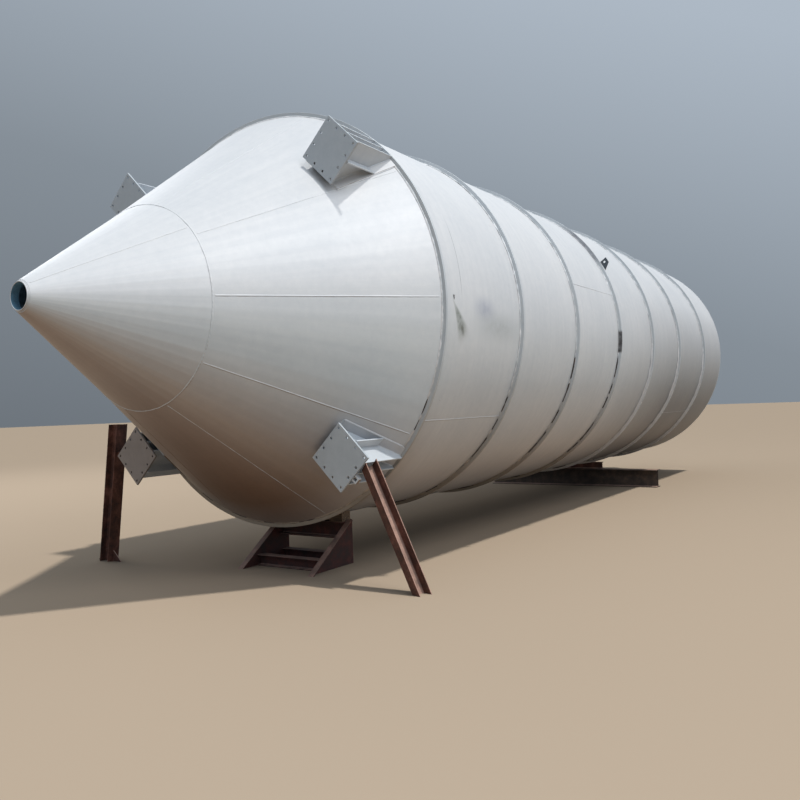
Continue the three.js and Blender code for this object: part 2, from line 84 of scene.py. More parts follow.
def linear(code):
    """An sRGB hex colour as linear red, green and blue."""
    parts = [int(code[i:i + 2], 16) / 255 for i in (1, 3, 5)]
    return [c / 12.92 if c <= 0.04045 else ((c + 0.055) / 1.055) ** 2.4 for c in parts]


def placed(name, data):
    """A new object in the scene."""
    thing = bpy.data.objects.new(name, data)
    bpy.context.scene.collection.objects.link(thing)
    return thing


# Camera, at the photograph's place and angle: distances from the knuckle ring's axis, turns in radians

CAMERA_FROM_KNUCKLE = Vector((-5.5864, -5.0683, -0.8379))
CAMERA_YAW = 0.99433
CAMERA_PITCH = 0.00921
CAMERA_ROLL = -0.03362
FOCAL_PIXELS = 799.287
PICTURE_PIXELS = 800
SENSOR_MM = 36


def photo_camera():
    data = bpy.data.cameras.new("camera")
    data.sensor_width = SENSOR_MM
    data.lens = FOCAL_PIXELS * SENSOR_MM / PICTURE_PIXELS
    data.clip_end = 400
    level = math.cos(CAMERA_PITCH)
    forward = Vector((math.sin(CAMERA_YAW) * level, math.cos(CAMERA_YAW) * level, math.sin(CAMERA_PITCH)))
    flat_right = Vector((math.cos(CAMERA_YAW), -math.sin(CAMERA_YAW), 0))
    flat_up = flat_right.cross(forward)
    right = flat_right * math.cos(CAMERA_ROLL) + flat_up * math.sin(CAMERA_ROLL)
    up = flat_up * math.cos(CAMERA_ROLL) - flat_right * math.sin(CAMERA_ROLL)
    camera = placed("camera", data)
    place = Vector((KNUCKLE_X - GAP, 0, AXIS_Z)) + CAMERA_FROM_KNUCKLE
    camera.matrix_world = Matrix.Translation(place) @ Matrix((right, up, -forward)).transposed().to_4x4()
    bpy.context.scene.camera = camera


photo_camera()


# Materials: colours are sRGB hex, and each pattern's scale comes from a real size in millimetres


def new_material(name):
    material = bpy.data.materials.new(name)
    material.use_nodes = True
    material.node_tree.nodes.clear()
    return material


def rgba(code):
    return (*linear(code), 1)


def of_size(millimetres):
    """The scale at which one feature of a pattern is about this large."""
    return 1000 / millimetres


def add(tree, kind, links=(), stops=(), **settings):
    """Adds a shader node. A setting names an attribute, links are (input, value) or (input, node, output), and
    a colour ramp's stops are (place, hex colour)."""
    node = tree.nodes.new("ShaderNode" + kind)
    for key, value in settings.items():
        setattr(node, key, value)
    for link in links:
        if len(link) == 3:
            tree.links.new(link[1].outputs[link[2]], node.inputs[link[0]])
        else:
            node.inputs[link[0]].default_value = link[1]
    for place, _ in stops[1:-1]:
        node.color_ramp.elements.new(place)
    for i, (place, code) in enumerate(stops):
        node.color_ramp.elements[i].position = place
        node.color_ramp.elements[i].color = rgba(code)
    return node


def finish_surface(tree, colour, roughness, metallic, height, height_mm, strength):
    """Ends a material: colour, roughness and bump come from nodes, metallic is set on the shader."""
    bump = add(tree, "Bump", [("Strength", strength), ("Distance", height_mm * MM), ("Height", *height)])
    shader = add(tree, "BsdfPrincipled", [("Base Color", *colour), ("Roughness", *roughness), ("Metallic", metallic),
                                          ("Normal", bump, "Normal")])
    add(tree, "OutputMaterial", [("Surface", shader, "BSDF")])


def worn_mark(tree, spread, noise, start, end, widths, blur):
    """A mask on the near side along the line from start to end in X and Z, with a half width at either end."""
    run_x, run_z = end[0] - start[0], end[1] - start[1]
    length = math.hypot(run_x, run_z)
    way = (run_x / length, run_z / length)
    flat = add(tree, "CombineXYZ", [("X", spread, "X"), ("Y", spread, "Z")])
    away = add(tree, "VectorMath", [(0, flat, "Vector"), (1, (start[0], start[1], 0))], operation="SUBTRACT")
    along = add(tree, "VectorMath", [(0, away, "Vector"), (1, (way[0] / length, way[1] / length, 0))],
                operation="DOT_PRODUCT")
    across = add(tree, "VectorMath", [(0, away, "Vector"), (1, (-way[1], way[0], 0))], operation="DOT_PRODUCT")
    off = add(tree, "Math", [(0, across, "Value")], operation="ABSOLUTE")
    half = add(tree, "MapRange", [("Value", along, "Value"), ("To Min", widths[0]), ("To Max", widths[1])])
    part = add(tree, "Math", [(0, off, "Value"), (1, half, "Result")], operation="DIVIDE")
    soft = add(tree, "MapRange", [("Value", part, "Value"), ("From Min", 1.0), ("From Max", 1.0 - blur)],
               interpolation_type="SMOOTHSTEP")
    begin = add(tree, "MapRange", [("Value", along, "Value"), ("From Min", -blur / 2), ("From Max", blur / 2)],
                interpolation_type="SMOOTHSTEP")
    finish = add(tree, "MapRange", [("Value", along, "Value"), ("From Min", 1.0 + blur / 2),
                                    ("From Max", 1.0 - blur / 2)], interpolation_type="SMOOTHSTEP")
    near = add(tree, "Math", [(0, spread, "Y"), (1, 0.0)], operation="LESS_THAN")
    mask = soft
    for other, output in ((begin, "Result"), (finish, "Result"), (noise, "Fac"), (near, "Value")):
        mask = add(tree, "Math", [(0, mask, 0), (1, other, output)], operation="MULTIPLY")
    return mask


# Each coat's three tones, from where the gun left least to where it left most
FULL_COAT = ("#c3c7cc", "#cacdd1", "#d1d3d6")
# Copies of the full coat for how light falls: painted shade on the base plates, deep painted shade on the far lower
# plate, painted shade on the rings, painted light on the webs
SHADED_PLATE_COAT = ("#a5adb4", "#adb5bc", "#b5bcc2")
DEEP_SHADE_COAT = ("#89817d", "#918985", "#99918d")
SHADED_RING_COAT = ("#b4babf", "#bac0c5", "#c0c5c9")
LIT_WEB_COAT = ("#b7bfc6", "#bdc4cb", "#c3c9cf")
COAT_STOPS = (0.36, 0.5, 0.64)
PASSES_IN_COAT = 0.45
MOTTLE_IN_TONE = 0.3
# Satin: rough enough to blur all that it mirrors, and a third metal, as leafed flake in a clear binder looks
PAINT_ROUGHNESS = (0.57, 0.53)
PAINT_METALLIC = 0.33

# What yard dust, painted shade and a painted reflection of the ground make of the paint, from the faces that look
# down to those that look level, with a painted cool cast on the faces between
DUST_AND_SHADE_RAMP = [(0.0, "#6f4a36"), (0.18, "#9f7d66"), (0.27, "#bda99b"), (0.36, "#c6bfbd"), (0.61, "#edf7fd"),
         (0.77, "#f1f6f7"), (1.0, "#fafafa")]
# Shares of it on the courses and at the hopper's tip, and of the low darkening on the rear rings
COURSE_DUST_AND_SHADE = 0.45
TIP_DUST_AND_SHADE = 0.72
REAR_RING_DARKENING_SHARE = 0.45
# Painted shade low on the flanks of the rear courses
REAR_PAINTED_SHADE = "#a9a7a6"
# A darker, browner tint low on the rings
LOW_RING_DARKENING = "#cdb9a5"
# Where each kind of dirt and painted shade starts and where it is full, along X and then in height
HOPPER_DUST_AND_SHADE_X = (KNUCKLE_X + 0.4, KNUCKLE_X - 0.3)
TIP_DUST_AND_SHADE_X = (KNUCKLE_X - 0.5, KNUCKLE_X - 1.8)
REAR_PAINTED_SHADE_X = (KNUCKLE_X + 4.5, KNUCKLE_X + 7.5)
REAR_RINGS_X = (KNUCKLE_X + 4.8, KNUCKLE_X + 6.0)
LOW_LAP_Z = (AXIS_Z + 0.1, AXIS_Z - 0.6)
LOW_RING_DARKENING_Z = (AXIS_Z - 0.4, AXIS_Z - 1.6)
# A ring's foot is covered up to a height between these
LAP_RADII = (SHELL_RADIUS - 2 * MM, SHELL_RADIUS + 10 * MM)

# The coat's thickness drifts over most of a metre
DRIFT_MM = 909.1
# A gun's passes lie about 70 mm apart, and each is even over most of a metre round the shell
PASS_MM = 71.43
PASS_LENGTH_MM = 833.3
# Flake, drawn far coarser than it is
MOTTLE_MM = 62.5
# Fingers of overspray where the shell's coat ends on a ring
RAGGED_MM = 45.45
# Marks of the press, about 70 mm apart at the middle of the cone and even over 2 m
PRESS_MARKS_TO_A_RADIAN = 19.0
PRESS_MARK_LENGTH_MM = 2000


def press_marks_at(tree, spread):
    """Where a pattern is read so that it runs in straight marks to the cone's tip."""
    rise = add(tree, "Math", [(0, spread, "Z"), (1, AXIS_Z)], operation="SUBTRACT")
    nearness = add(tree, "Math", [(0, spread, "Y"), (1, -1.0)], operation="MULTIPLY")
    angle = add(tree, "Math", [(0, rise, "Value"), (1, nearness, "Value")], operation="ARCTAN2")
    strokes = add(tree, "Math", [(0, angle, "Value"), (1, PRESS_MARKS_TO_A_RADIAN)], operation="MULTIPLY")
    along = add(tree, "Math", [(0, spread, "X"), (1, of_size(PRESS_MARK_LENGTH_MM))], operation="MULTIPLY")
    return add(tree, "CombineXYZ", [("X", strokes, "Value"), ("Y", along, "Value")])


def dusted_and_shaded(tree, spread, facing, silver, dust_and_painted_light):
    """Yard dust and painted shade by how far a face looks down: most on the hopper's wide end, less on the courses
    and the tip.
    """
    downward = add(tree, "MapRange", [("Value", facing, "Z"), ("From Min", -1.0), ("From Max", 0.1)])
    dust_and_shade = add(tree, "ValToRGB", [("Fac", downward, "Result")], DUST_AND_SHADE_RAMP)
    hopper_end = add(tree, "MapRange", [("Value", spread, "X"), ("From Min", HOPPER_DUST_AND_SHADE_X[0]),
                                        ("From Max", HOPPER_DUST_AND_SHADE_X[1]), ("To Min", COURSE_DUST_AND_SHADE * dust_and_painted_light),
                                        ("To Max", dust_and_painted_light)])
    tipward = add(tree, "MapRange", [("Value", spread, "X"), ("From Min", TIP_DUST_AND_SHADE_X[0]),
                                     ("From Max", TIP_DUST_AND_SHADE_X[1]), ("To Min", 1.0), ("To Max", TIP_DUST_AND_SHADE)])
    dust_and_shade_share = add(tree, "Math", [(0, hopper_end, "Result"), (1, tipward, "Result")], operation="MULTIPLY")
    return add(tree, "Mix", [("Factor", dust_and_shade_share, "Value"), (6, silver, "Color"), (7, dust_and_shade, "Color")], data_type="RGBA",
               blend_type="MULTIPLY")


def shade_rear_courses(tree, spread, facing, colour, most):
    """Painted shade on the rear courses, darkest low on their flanks."""
    far = add(tree, "MapRange", [("Value", spread, "X"), ("From Min", REAR_PAINTED_SHADE_X[0]), ("From Max", REAR_PAINTED_SHADE_X[1])])
    flank = add(tree, "MapRange", [("Value", facing, "Z"), ("From Min", 0.4), ("From Max", -0.5), ("To Max", most)])
    shaded = add(tree, "Math", [(0, far, "Result"), (1, flank, "Result")], operation="MULTIPLY")
    return add(tree, "Mix", [("Factor", shaded, "Value"), (6, colour, "Result"), (7, rgba(REAR_PAINTED_SHADE))],
               data_type="RGBA", blend_type="MULTIPLY")


def lapped_foot(tree, place, spread, colour, reach):
    """The shell's coat, lapped raggedly onto a ring's foot and by reach more low on the rear rings. Low down
    the rings are made darker and browner, most of all the front rings."""
    offset = add(tree, "VectorMath", [(0, place, "Object"), (1, (0, 0, AXIS_Z))], operation="SUBTRACT")
    crosswise = add(tree, "VectorMath", [(0, offset, "Vector"), (1, (0, 1, 1))], operation="MULTIPLY")
    height = add(tree, "VectorMath", [(0, crosswise, "Vector")], operation="LENGTH")
    ragged = add(tree, "TexNoise", [("Vector", place, "Object"), ("Scale", of_size(RAGGED_MM)), ("Detail", 3.0)])
    foot = add(tree, "MapRange", [("Value", ragged, "Fac"), ("From Min", 0.35), ("From Max", 0.68),
                                  ("To Min", LAP_RADII[0]), ("To Max", LAP_RADII[1])])
    low = add(tree, "MapRange", [("Value", spread, "Z"), ("From Min", LOW_LAP_Z[0]), ("From Max", LOW_LAP_Z[1]),
                                 ("To Max", reach)])
    behind = add(tree, "MapRange", [("Value", spread, "X"), ("From Min", REAR_RINGS_X[0]),
                                    ("From Max", REAR_RINGS_X[1])])
    edge = add(tree, "Math", [(0, low, "Result"), (1, behind, "Result"), (2, foot, "Result")],
               operation="MULTIPLY_ADD")
    above = add(tree, "Math", [(0, height, "Value"), (1, edge, "Value")], operation="SUBTRACT")
    covered = add(tree, "MapRange", [("Value", above, "Value"), ("From Min", 2 * MM), ("From Max", -2 * MM)])
    lapped = add(tree, "Mix", [("Factor", covered, "Result"), (6, colour, "Result"), (7, rgba(FULL_COAT[2]))],
                 data_type="RGBA")
    # Darker and browner low down on the rings, most on the front rings
    low_share = add(tree, "MapRange", [("Value", spread, "Z"), ("From Min", LOW_RING_DARKENING_Z[0]), ("From Max", LOW_RING_DARKENING_Z[1])])
    ahead = add(tree, "Math", [(0, behind, "Result"), (1, REAR_RING_DARKENING_SHARE - 1.0), (2, 1.0)], operation="MULTIPLY_ADD")
    darkened = add(tree, "Math", [(0, low_share, "Result"), (1, ahead, "Value")], operation="MULTIPLY")
    return add(tree, "Mix", [("Factor", darkened, "Value"), (6, lapped, "Result"), (7, rgba(LOW_RING_DARKENING))],
               data_type="RGBA", blend_type="MULTIPLY")


def aluminium_paint(name, coat=FULL_COAT, dust_and_painted_light=1.0, pressed=False, rear=0.0, lap=0.0, marks=()):
    """Aluminium paint sprayed over mill steel. Leafed flake gives a satin silver that blurs what it mirrors,
    with the gun's overlapping passes as faint bands round the shell, a slow drift in the coat's thickness,
    and yard dust with painted shade on what looks down. The finest mottle of the flake is far too small to
    show, so it is drawn 62 mm wide. Pressed plate shows faint straight marks that run to the cone's tip in place of
    the bands."""
    material = new_material(name)
    tree = material.node_tree
    place = add(tree, "TexCoord")
    spread = add(tree, "SeparateXYZ", [("Vector", place, "Object")])
    facing = add(tree, "SeparateXYZ", [("Vector", add(tree, "NewGeometry"), "Normal")])
    drift = add(tree, "TexNoise", [("Vector", place, "Object"), ("Scale", of_size(DRIFT_MM)), ("Detail", 5.0)])
    if pressed:
        passes_at = press_marks_at(tree, spread)
    else:
        size = (of_size(PASS_MM), of_size(PASS_LENGTH_MM), of_size(PASS_LENGTH_MM))
        passes_at = add(tree, "Mapping", [("Vector", place, "Object"), ("Scale", size)])
    passes = add(tree, "TexNoise", [("Vector", passes_at, "Vector"), ("Scale", 1.0), ("Detail", 6.0),
                                    ("Roughness", 0.6)])
    mottle = add(tree, "TexNoise", [("Vector", place, "Object"), ("Scale", of_size(MOTTLE_MM)), ("Detail", 8.0),
                                    ("Roughness", 0.65)])
    both = add(tree, "Mix", [(0, PASSES_IN_COAT), (2, drift, "Fac"), (3, passes, "Fac")])
    tone = add(tree, "Mix", [(0, MOTTLE_IN_TONE), (2, both, 0), (3, mottle, "Fac")])
    silver = add(tree, "ValToRGB", [("Fac", tone, "Result")], list(zip(COAT_STOPS, coat)))
    # Yard dust with painted shade and a painted cool cast on faces that look down
    colour = dusted_and_shaded(tree, spread, facing, silver, dust_and_painted_light)
    if rear:
        # Painted shade low on the rear courses
        colour = shade_rear_courses(tree, spread, facing, colour, rear)
    if lap:
        colour = lapped_foot(tree, place, spread, colour, lap)
    for start, end, widths, blur, code, strength in marks:
        mask = worn_mark(tree, spread, mottle, start, end, widths, blur)
        strong = add(tree, "Math", [(0, mask, 0), (1, strength)], operation="MULTIPLY")
        colour = add(tree, "Mix", [("Factor", strong, "Value"), (6, colour, "Result"), (7, rgba(code))],
                     data_type="RGBA")
    rough = add(tree, "MapRange", [("Value", tone, 0), ("From Min", 0.35), ("From Max", 0.65),
                                   ("To Min", PAINT_ROUGHNESS[0]), ("To Max", PAINT_ROUGHNESS[1])])
    finish_surface(tree, (colour, "Result"), (rough, "Result"), metallic=PAINT_METALLIC, height=(mottle, "Fac"),
                   height_mm=0.6, strength=0.35)
    return material


BLOTCH_MM = 111.11
GRIT_MM = 7.143
GRIT_IN_TONE = 0.35
# Pale colour on faces that look up: yard dust and a painted highlight where the sun falls
PALE_DUST_AND_HIGHLIGHT = "#b69a8d"


def weathered_steel(name, dark, mid, light, metallic=0.0, dust_and_painted_light=0.0):
    """Hot rolled steel with whatever its surface has come to: blotches as wide as a hand, where rust, primer
    or scale clings or is gone, over a grit that makes it matt. Yard dust and a painted highlight pale the
    faces that look up. Real grit is below a millimetre, and it is drawn 7 mm wide to show at all."""
    material = new_material(name)
    tree = material.node_tree
    place = add(tree, "TexCoord")
    blotch = add(tree, "TexNoise", [("Vector", place, "Object"), ("Scale", of_size(BLOTCH_MM)), ("Detail", 9.0),
                                    ("Roughness", 0.68)])
    grit = add(tree, "TexNoise", [("Vector", place, "Object"), ("Scale", of_size(GRIT_MM)), ("Detail", 6.0),
                                  ("Roughness", 0.7)])
    tone = add(tree, "Mix", [(0, GRIT_IN_TONE), (2, blotch, "Fac"), (3, grit, "Fac")])
    skin = add(tree, "ValToRGB", [("Fac", tone, "Result")], [(0.38, dark), (0.5, mid), (0.63, light)])
    rough = add(tree, "MapRange", [("Value", tone, 0), ("From Min", 0.35), ("From Max", 0.65), ("To Min", 0.62),
                                   ("To Max", 0.9)])
    colour = (skin, "Color")
    if dust_and_painted_light:
        facing = add(tree, "SeparateXYZ", [("Vector", add(tree, "NewGeometry"), "Normal")])
        lying = add(tree, "MapRange", [("Value", facing, "Z"), ("From Min", 0.1), ("From Max", 0.6), ("To Min", 0.0),
                                       ("To Max", dust_and_painted_light)])
        uneven = add(tree, "Math", [(0, lying, "Result"), (1, blotch, "Fac")], operation="MULTIPLY")
        pale = add(tree, "Mix", [("Factor", uneven, "Value"), (6, skin, "Color"), (7, rgba(PALE_DUST_AND_HIGHLIGHT))],
                   data_type="RGBA")
        colour = (pale, "Result")
    finish_surface(tree, colour, (rough, "Result"), metallic, height=(grit, "Fac"), height_mm=1.2, strength=0.6)
    return material


GRAIN_MM = 11.111
GRAIN_LENGTH_MM = 250


def sawn_timber():
    """Softwood, sawn and left outdoors: greyed brown, matt, in straight grain that runs along the block."""
    material = new_material("sawn_timber")
    tree = material.node_tree
    place = add(tree, "TexCoord")
    size = (of_size(GRAIN_MM), of_size(GRAIN_LENGTH_MM), of_size(GRAIN_MM))
    grain_at = add(tree, "Mapping", [("Vector", place, "Object"), ("Scale", size)])
    grain = add(tree, "TexNoise", [("Vector", grain_at, "Vector"), ("Scale", 1.0), ("Detail", 6.0)])
    colour = add(tree, "ValToRGB", [("Fac", grain, "Fac")], [(0.35, "#3d3127"), (0.5, "#5f4f40"), (0.66, "#7c6b55")])
    rough = add(tree, "MapRange", [("Value", grain, "Fac"), ("To Min", 0.7), ("To Max", 0.95)])
    finish_surface(tree, (colour, "Color"), (rough, "Result"), metallic=0.0, height=(grain, "Fac"),
                   height_mm=1.5, strength=0.6)
    return material


def marks_from(rows):
    """Marks from rows of X and Z at the start and the end, taken from the knuckle ring and the axis, then the
    half widths there, the share of them that is blurred, the colour and the strength."""
    return [((KNUCKLE_X + x0, AXIS_Z + z0), (KNUCKLE_X + x1, AXIS_Z + z1), widths, blur, code, strength)
            for x0, z0, x1, z1, widths, blur, code, strength in rows]


# A dark tick, the rub below it and the spot that ends it, two dulled clouds, and a scribed line
FIRST_COURSE_MARKS = marks_from([
    (0.203, 0.078, 0.203, 0.040, (0.022, 0.008), 0.4, "#3c3936", 1.9),
    (0.210, 0.000, 0.365, -0.235, (0.018, 0.120), 0.7, "#838985", 1.5),
    (0.325, -0.160, 0.365, -0.240, (0.038, 0.038), 0.9, "#6a6c66", 1.5),
    (0.620, 0.010, 0.900, 0.000, (0.150, 0.150), 1.0, "#9aa0b0", 1.2),
    (0.700, -0.130, 1.400, -0.150, (0.190, 0.190), 1.0, "#979ea0", 0.9),
    (0.366, 0.700, 0.345, 0.130, (0.006, 0.006), 0.5, "#777d84", 1.1),
])
# The third stiffener's joint, where its face was never painted, and a smoke stain above it
SPLICE_MARKS = marks_from([
    (4.500, 0.040, 4.500, -0.230, (0.090, 0.090), 0.15, "#4b4a4c", 1.9),
    (4.500, 1.420, 4.500, 0.950, (0.090, 0.090), 0.5, "#7d7d84", 1.3),
])

# One paint on every plate, in copies darkened or lightened for how light falls. Full coats are the palest and
# warmest. The base plates and the rings carry painted shade as a darker, cooler grey, the far lower plate a dull
# brown painted deep shade, and the webs a lighter grey as painted light on their sunlit tops.
SILVER = aluminium_paint("aluminium_paint")
# The courses carry painted shade low on their rear flanks
SHELL_SILVER = aluminium_paint("aluminium_paint_on_shell", rear=0.9)
MARKED_SILVER = aluminium_paint("aluminium_paint_with_marks", marks=FIRST_COURSE_MARKS)
PRESSED_SILVER = aluminium_paint("aluminium_paint_on_pressed_plate", pressed=True)
SHADED_PLATE_SILVER = aluminium_paint("aluminium_paint_painted_shade", SHADED_PLATE_COAT, dust_and_painted_light=0.15)
DEEP_SHADE_SILVER = aluminium_paint("aluminium_paint_painted_deep_shade", DEEP_SHADE_COAT, dust_and_painted_light=0.15)
LIT_WEB_SILVER = aluminium_paint("aluminium_paint_on_webs_painted_light", LIT_WEB_COAT, dust_and_painted_light=0.05)
SHADED_RING_SILVER = aluminium_paint("aluminium_paint_on_rings_painted_shade", SHADED_RING_COAT, dust_and_painted_light=0.5, lap=35 * MM)
SPLICED_SILVER = aluminium_paint("aluminium_paint_on_spliced_ring", SHADED_RING_COAT, dust_and_painted_light=0.5, lap=35 * MM,
                                 marks=SPLICE_MARKS)
# Rolled section left outside: brown bloom over scale, matt, and pale on top with dust and a painted highlight
RUST = weathered_steel("weathered_section", "#2a1a16", "#55342a", "#83594c", dust_and_painted_light=2.0)
# Red oxide primer brushed on long ago, dark and dull and worn to brown
PRIMER = weathered_steel("old_red_oxide", "#1d1110", "#3a1c19", "#5c2f28", dust_and_painted_light=0.7)
# A beam whose rolled scale has aged to a brown black, with hardly any red in it
BEAM = weathered_steel("dark_scaled_section", "#1f1916", "#3a302a", "#56463c", dust_and_painted_light=0.7)
# Mill scale as it left the rolls, never painted: blue grey, with a weak sheen
SCALE = weathered_steel("mill_scale", "#3d444a", "#565e66", "#6c6e70", metallic=0.5)
# Scale in the bores of the outlet and the vent, made bluer and lighter as a painted reflection of the sky
BORE_SKY_REFLECTION = weathered_steel("bore_painted_sky_reflection", "#456679", "#5d86a0", "#7399b0", metallic=0.2)
# Primer rolled onto the inside of the cones: pale blue grey and matt, so that some light gets down the bore
LINING = weathered_steel("pale_primer_inside", "#a6cbe4", "#b4d8f0", "#c0e2f8")
# Corners that neither weld nor paint reached: nearly black with rust, and darker still as painted shade in the corner
BARE_RUST_AND_SHADE = weathered_steel("bare_rusty_corner_painted_shade", "#1b1817", "#332c29", "#54463f")
TIMBER = sawn_timber()


# Shapes: a part is (points, faces, material numbers, smooth), and a piece is made of parts

X_WAY, Y_WAY, Z_WAY = np.eye(3)
SHARP_ANGLE = math.radians(38)


def unit(ways):
    """The same ways, each one long."""
    return ways / np.linalg.norm(ways, axis=-1, keepdims=True)


def point(x, radius, degrees):
    """Points at an angle round the silo's axis."""
    angle = np.radians(degrees)
    return np.stack(np.broadcast_arrays(x, -radius * np.cos(angle), AXIS_Z + radius * np.sin(angle)), -1)


def outward(degrees):
    """The way out from the silo's axis at an angle. At 90 degrees more, it is the way round it."""
    angle = np.radians(np.asarray(degrees, float))
    return np.stack([0 * angle, -np.cos(angle), np.sin(angle)], -1)


def grid_faces(rows, columns, close_rows, close_columns):
    """Faces between the points of a grid, which may close on itself either way."""
    r, c = np.meshgrid(np.arange(rows if close_rows else rows - 1),
                       np.arange(columns if close_columns else columns - 1), indexing="ij")
    after_r, after_c = (r + 1) % rows, (c + 1) % columns
    corners = [r * columns + c, r * columns + after_c, after_r * columns + after_c, after_r * columns + c]
    return np.stack(corners, -1).reshape(-1, 4).tolist()


def tube_faces(rows, columns):
    """Faces of a run of rings, open between the last and the first, with a face over each end."""
    ends = [list(range(columns)), list(range((rows - 1) * columns, rows * columns))]
    return grid_faces(rows, columns, False, True) + ends


def closed_mesh(name, points, faces, numbers=()):
    """A mesh of closed solids, its faces' material numbers set and its normals outwards."""
    mesh = bpy.data.meshes.new(name)
    mesh.from_pydata(points, [], faces)
    if len(numbers):
        mesh.polygons.foreach_set("material_index", numbers)
    work = bmesh.new()
    work.from_mesh(mesh)
    bmesh.ops.recalc_face_normals(work, faces=work.faces)
    work.to_mesh(mesh)
    work.free()
    return mesh


def make_piece(name, parts, materials, slot, *replaced):
    """Joins parts into one object that rides on the silo and stands for the named nodes."""
    points, faces, numbers, rounded = [], [], [], []
    for part_points, part_faces, number, smooth in parts:
        start = len(points)
        points += np.asarray(part_points).reshape(-1, 3).tolist()
        faces += [[start + i for i in face] for face in part_faces]
        numbers += number if isinstance(number, list) else [number] * len(part_faces)
        rounded += [smooth] * len(part_faces)
    mesh = closed_mesh(name, points, faces, numbers)
    for material in materials:
        mesh.materials.append(material)
    mesh.set_sharp_from_angle(angle=SHARP_ANGLE)
    mesh.polygons.foreach_set("use_smooth", rounded)
    piece = placed(name, mesh)
    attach(piece, "root")
    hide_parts(*replaced)


def turned(profile, columns, inner_rows=(), offset=0):
    """A closed profile of (x, radius) turned round the silo's axis, or round a line offset upwards from it.
    The inner rows are of the second material."""
    angles = np.arange(columns) * 360 / columns
    x, radius = np.array(profile, float).T
    points = point(x[:, None], radius[:, None], angles[None, :]) + offset * Z_WAY
    faces = grid_faces(len(profile), columns, True, True)
    return points, faces, [int(i // columns in inner_rows) for i in range(len(faces))], True


def flat_ring(low, high, inner, outer, edge):
    """The profile of a flat ring with dressed outer edges."""
    return [(low, inner), (low, outer - edge), (low + edge, outer), (high - edge, outer), (high, outer - edge),
            (high, inner)]


def square(half):
    """The corners of a square round the middle."""
    return [(-half, -half), (half, -half), (half, half), (-half, half)]


# Welds

RIPPLE_PITCH = 9 * MM
RIPPLE_HEIGHT = 0.16
WIDTH_WANDERS_OVER = 45 * MM
HEIGHT_WANDERS_OVER = 30 * MM
RUN_END = 12 * MM
RUN_END_SHARE = 0.25
SEAM_STEP = 4.5 * MM
SEAM_WANDER_DEGREES = 0.05


def random_line(rng, length, spacing):
    """A smooth random value between -1 and 1 along a length."""
    knots = rng.uniform(-1, 1, max(int(length / spacing), 2) + 2)
    return lambda s: np.interp(s / spacing, np.arange(len(knots)), knots)


def bead(path, across, out, width, rise, root, seed, number=0, closed=False, lumps=0.18):
    """A run of weld: a convex cap swept along a path, uneven in width, with the ripples of its pool."""
    across, out = (np.broadcast_to(way, path.shape) for way in (across, out))
    rng = np.random.default_rng(seed)
    steps = np.linalg.norm(np.diff(path, axis=0), axis=1)
    along = np.concatenate([[0], np.cumsum(steps)])
    total = along[-1]
    wide = 1 + lumps * random_line(rng, total, WIDTH_WANDERS_OVER)(along)
    high = 1 + lumps * random_line(rng, total, HEIGHT_WANDERS_OVER)(along)
    high = high + RIPPLE_HEIGHT * np.sin(2 * np.pi * along / RIPPLE_PITCH)
    if not closed:
        fade = np.clip(np.minimum(along, total - along) / RUN_END, RUN_END_SHARE, 1)
        wide, high = wide * fade, high * fade
    turn = np.linspace(0, np.pi, 6)
    cap = (path[:, None] + across[:, None] * (width / 2 * wide)[:, None, None] * np.cos(turn)[None, :, None]
           + out[:, None] * (rise * high)[:, None, None] * np.sin(turn)[None, :, None])
    points = np.concatenate([cap, (path - out * root)[:, None]], axis=1)
    rows, columns = points.shape[:2]
    faces = grid_faces(rows, columns, True, True) if closed else tube_faces(rows, columns)
    return points, faces, number, True


def fillet(corner, side_a, side_b, leg, seed, number=0, closed=False, lumps=0.18):
    """A fillet weld in a corner between two faces that run away from it along side_a and side_b."""
    side_a, side_b = (np.broadcast_to(side, corner.shape) for side in (side_a, side_b))
    both, apart = side_a + side_b, side_a - side_b
    width = leg * np.linalg.norm(apart, axis=-1).mean()
    root = leg * np.linalg.norm(both, axis=-1).mean() / 2
    return bead(corner + both * leg / 2, unit(apart), unit(both), width, leg * 0.22, root, seed, number, closed,
                lumps)


def straight_seam(start, end, degrees, radius_at, seed, width=14 * MM, rise=3.2 * MM):
    """A butt weld that runs straight along the plate at one angle."""
    x = np.linspace(start, end, int((end - start) / SEAM_STEP))
    wander = np.random.default_rng(seed).uniform(-1, 1, 8)
    angle = degrees + SEAM_WANDER_DEGREES * np.interp(x, np.linspace(start, end, 8), wander)
    path = point(x, radius_at(x), angle)
    slope = (radius_at(end) - radius_at(start)) / (end - start)
    out = unit(outward(angle) - slope * X_WAY)
    across = unit(np.cross(np.gradient(path, axis=0), out))
    return bead(path, across, out, width, rise, 1 * MM, seed)


def tack(x, degrees):
    """The stub of a tack weld left where a lifting cleat was knocked off."""
    path = point(np.full(7, x), SHELL_RADIUS - 1 * MM, degrees + np.linspace(-0.25, 0.25, 7))
    return bead(path, X_WAY, outward(degrees), 16 * MM, 7 * MM, 1 * MM, int(x * 1000) % 97)


# Shell and hopper plates

SHELL_COLUMNS = 288
CONE_COLUMNS = 480
# Tacks by course, as the distance from its front edge and the angle
TACKS = {"shell_course_1": [(0.206, -24.8), (1.352, 27.9)], "shell_course_2": [(1.308, 28.5), (1.372, 19.7)]}
SHELL_WAVE = 1.3 * MM
CONE_WAVE = 1.6 * MM
# The rings' welds draw the plate in at a course's ends
RING_SHRINK = 1.6 * MM
RING_SHRINK_REACH = 0.09
# The outside lies in by this, which keeps its waves and seams within the solids' box
SET_IN = 1.2 * MM
# Ridges along straight seams: height and reach to either side
SHELL_SEAM_RIDGE = (2.4 * MM, 0.16)
CONE_SEAM_RIDGE = (1.5 * MM, 0.1)
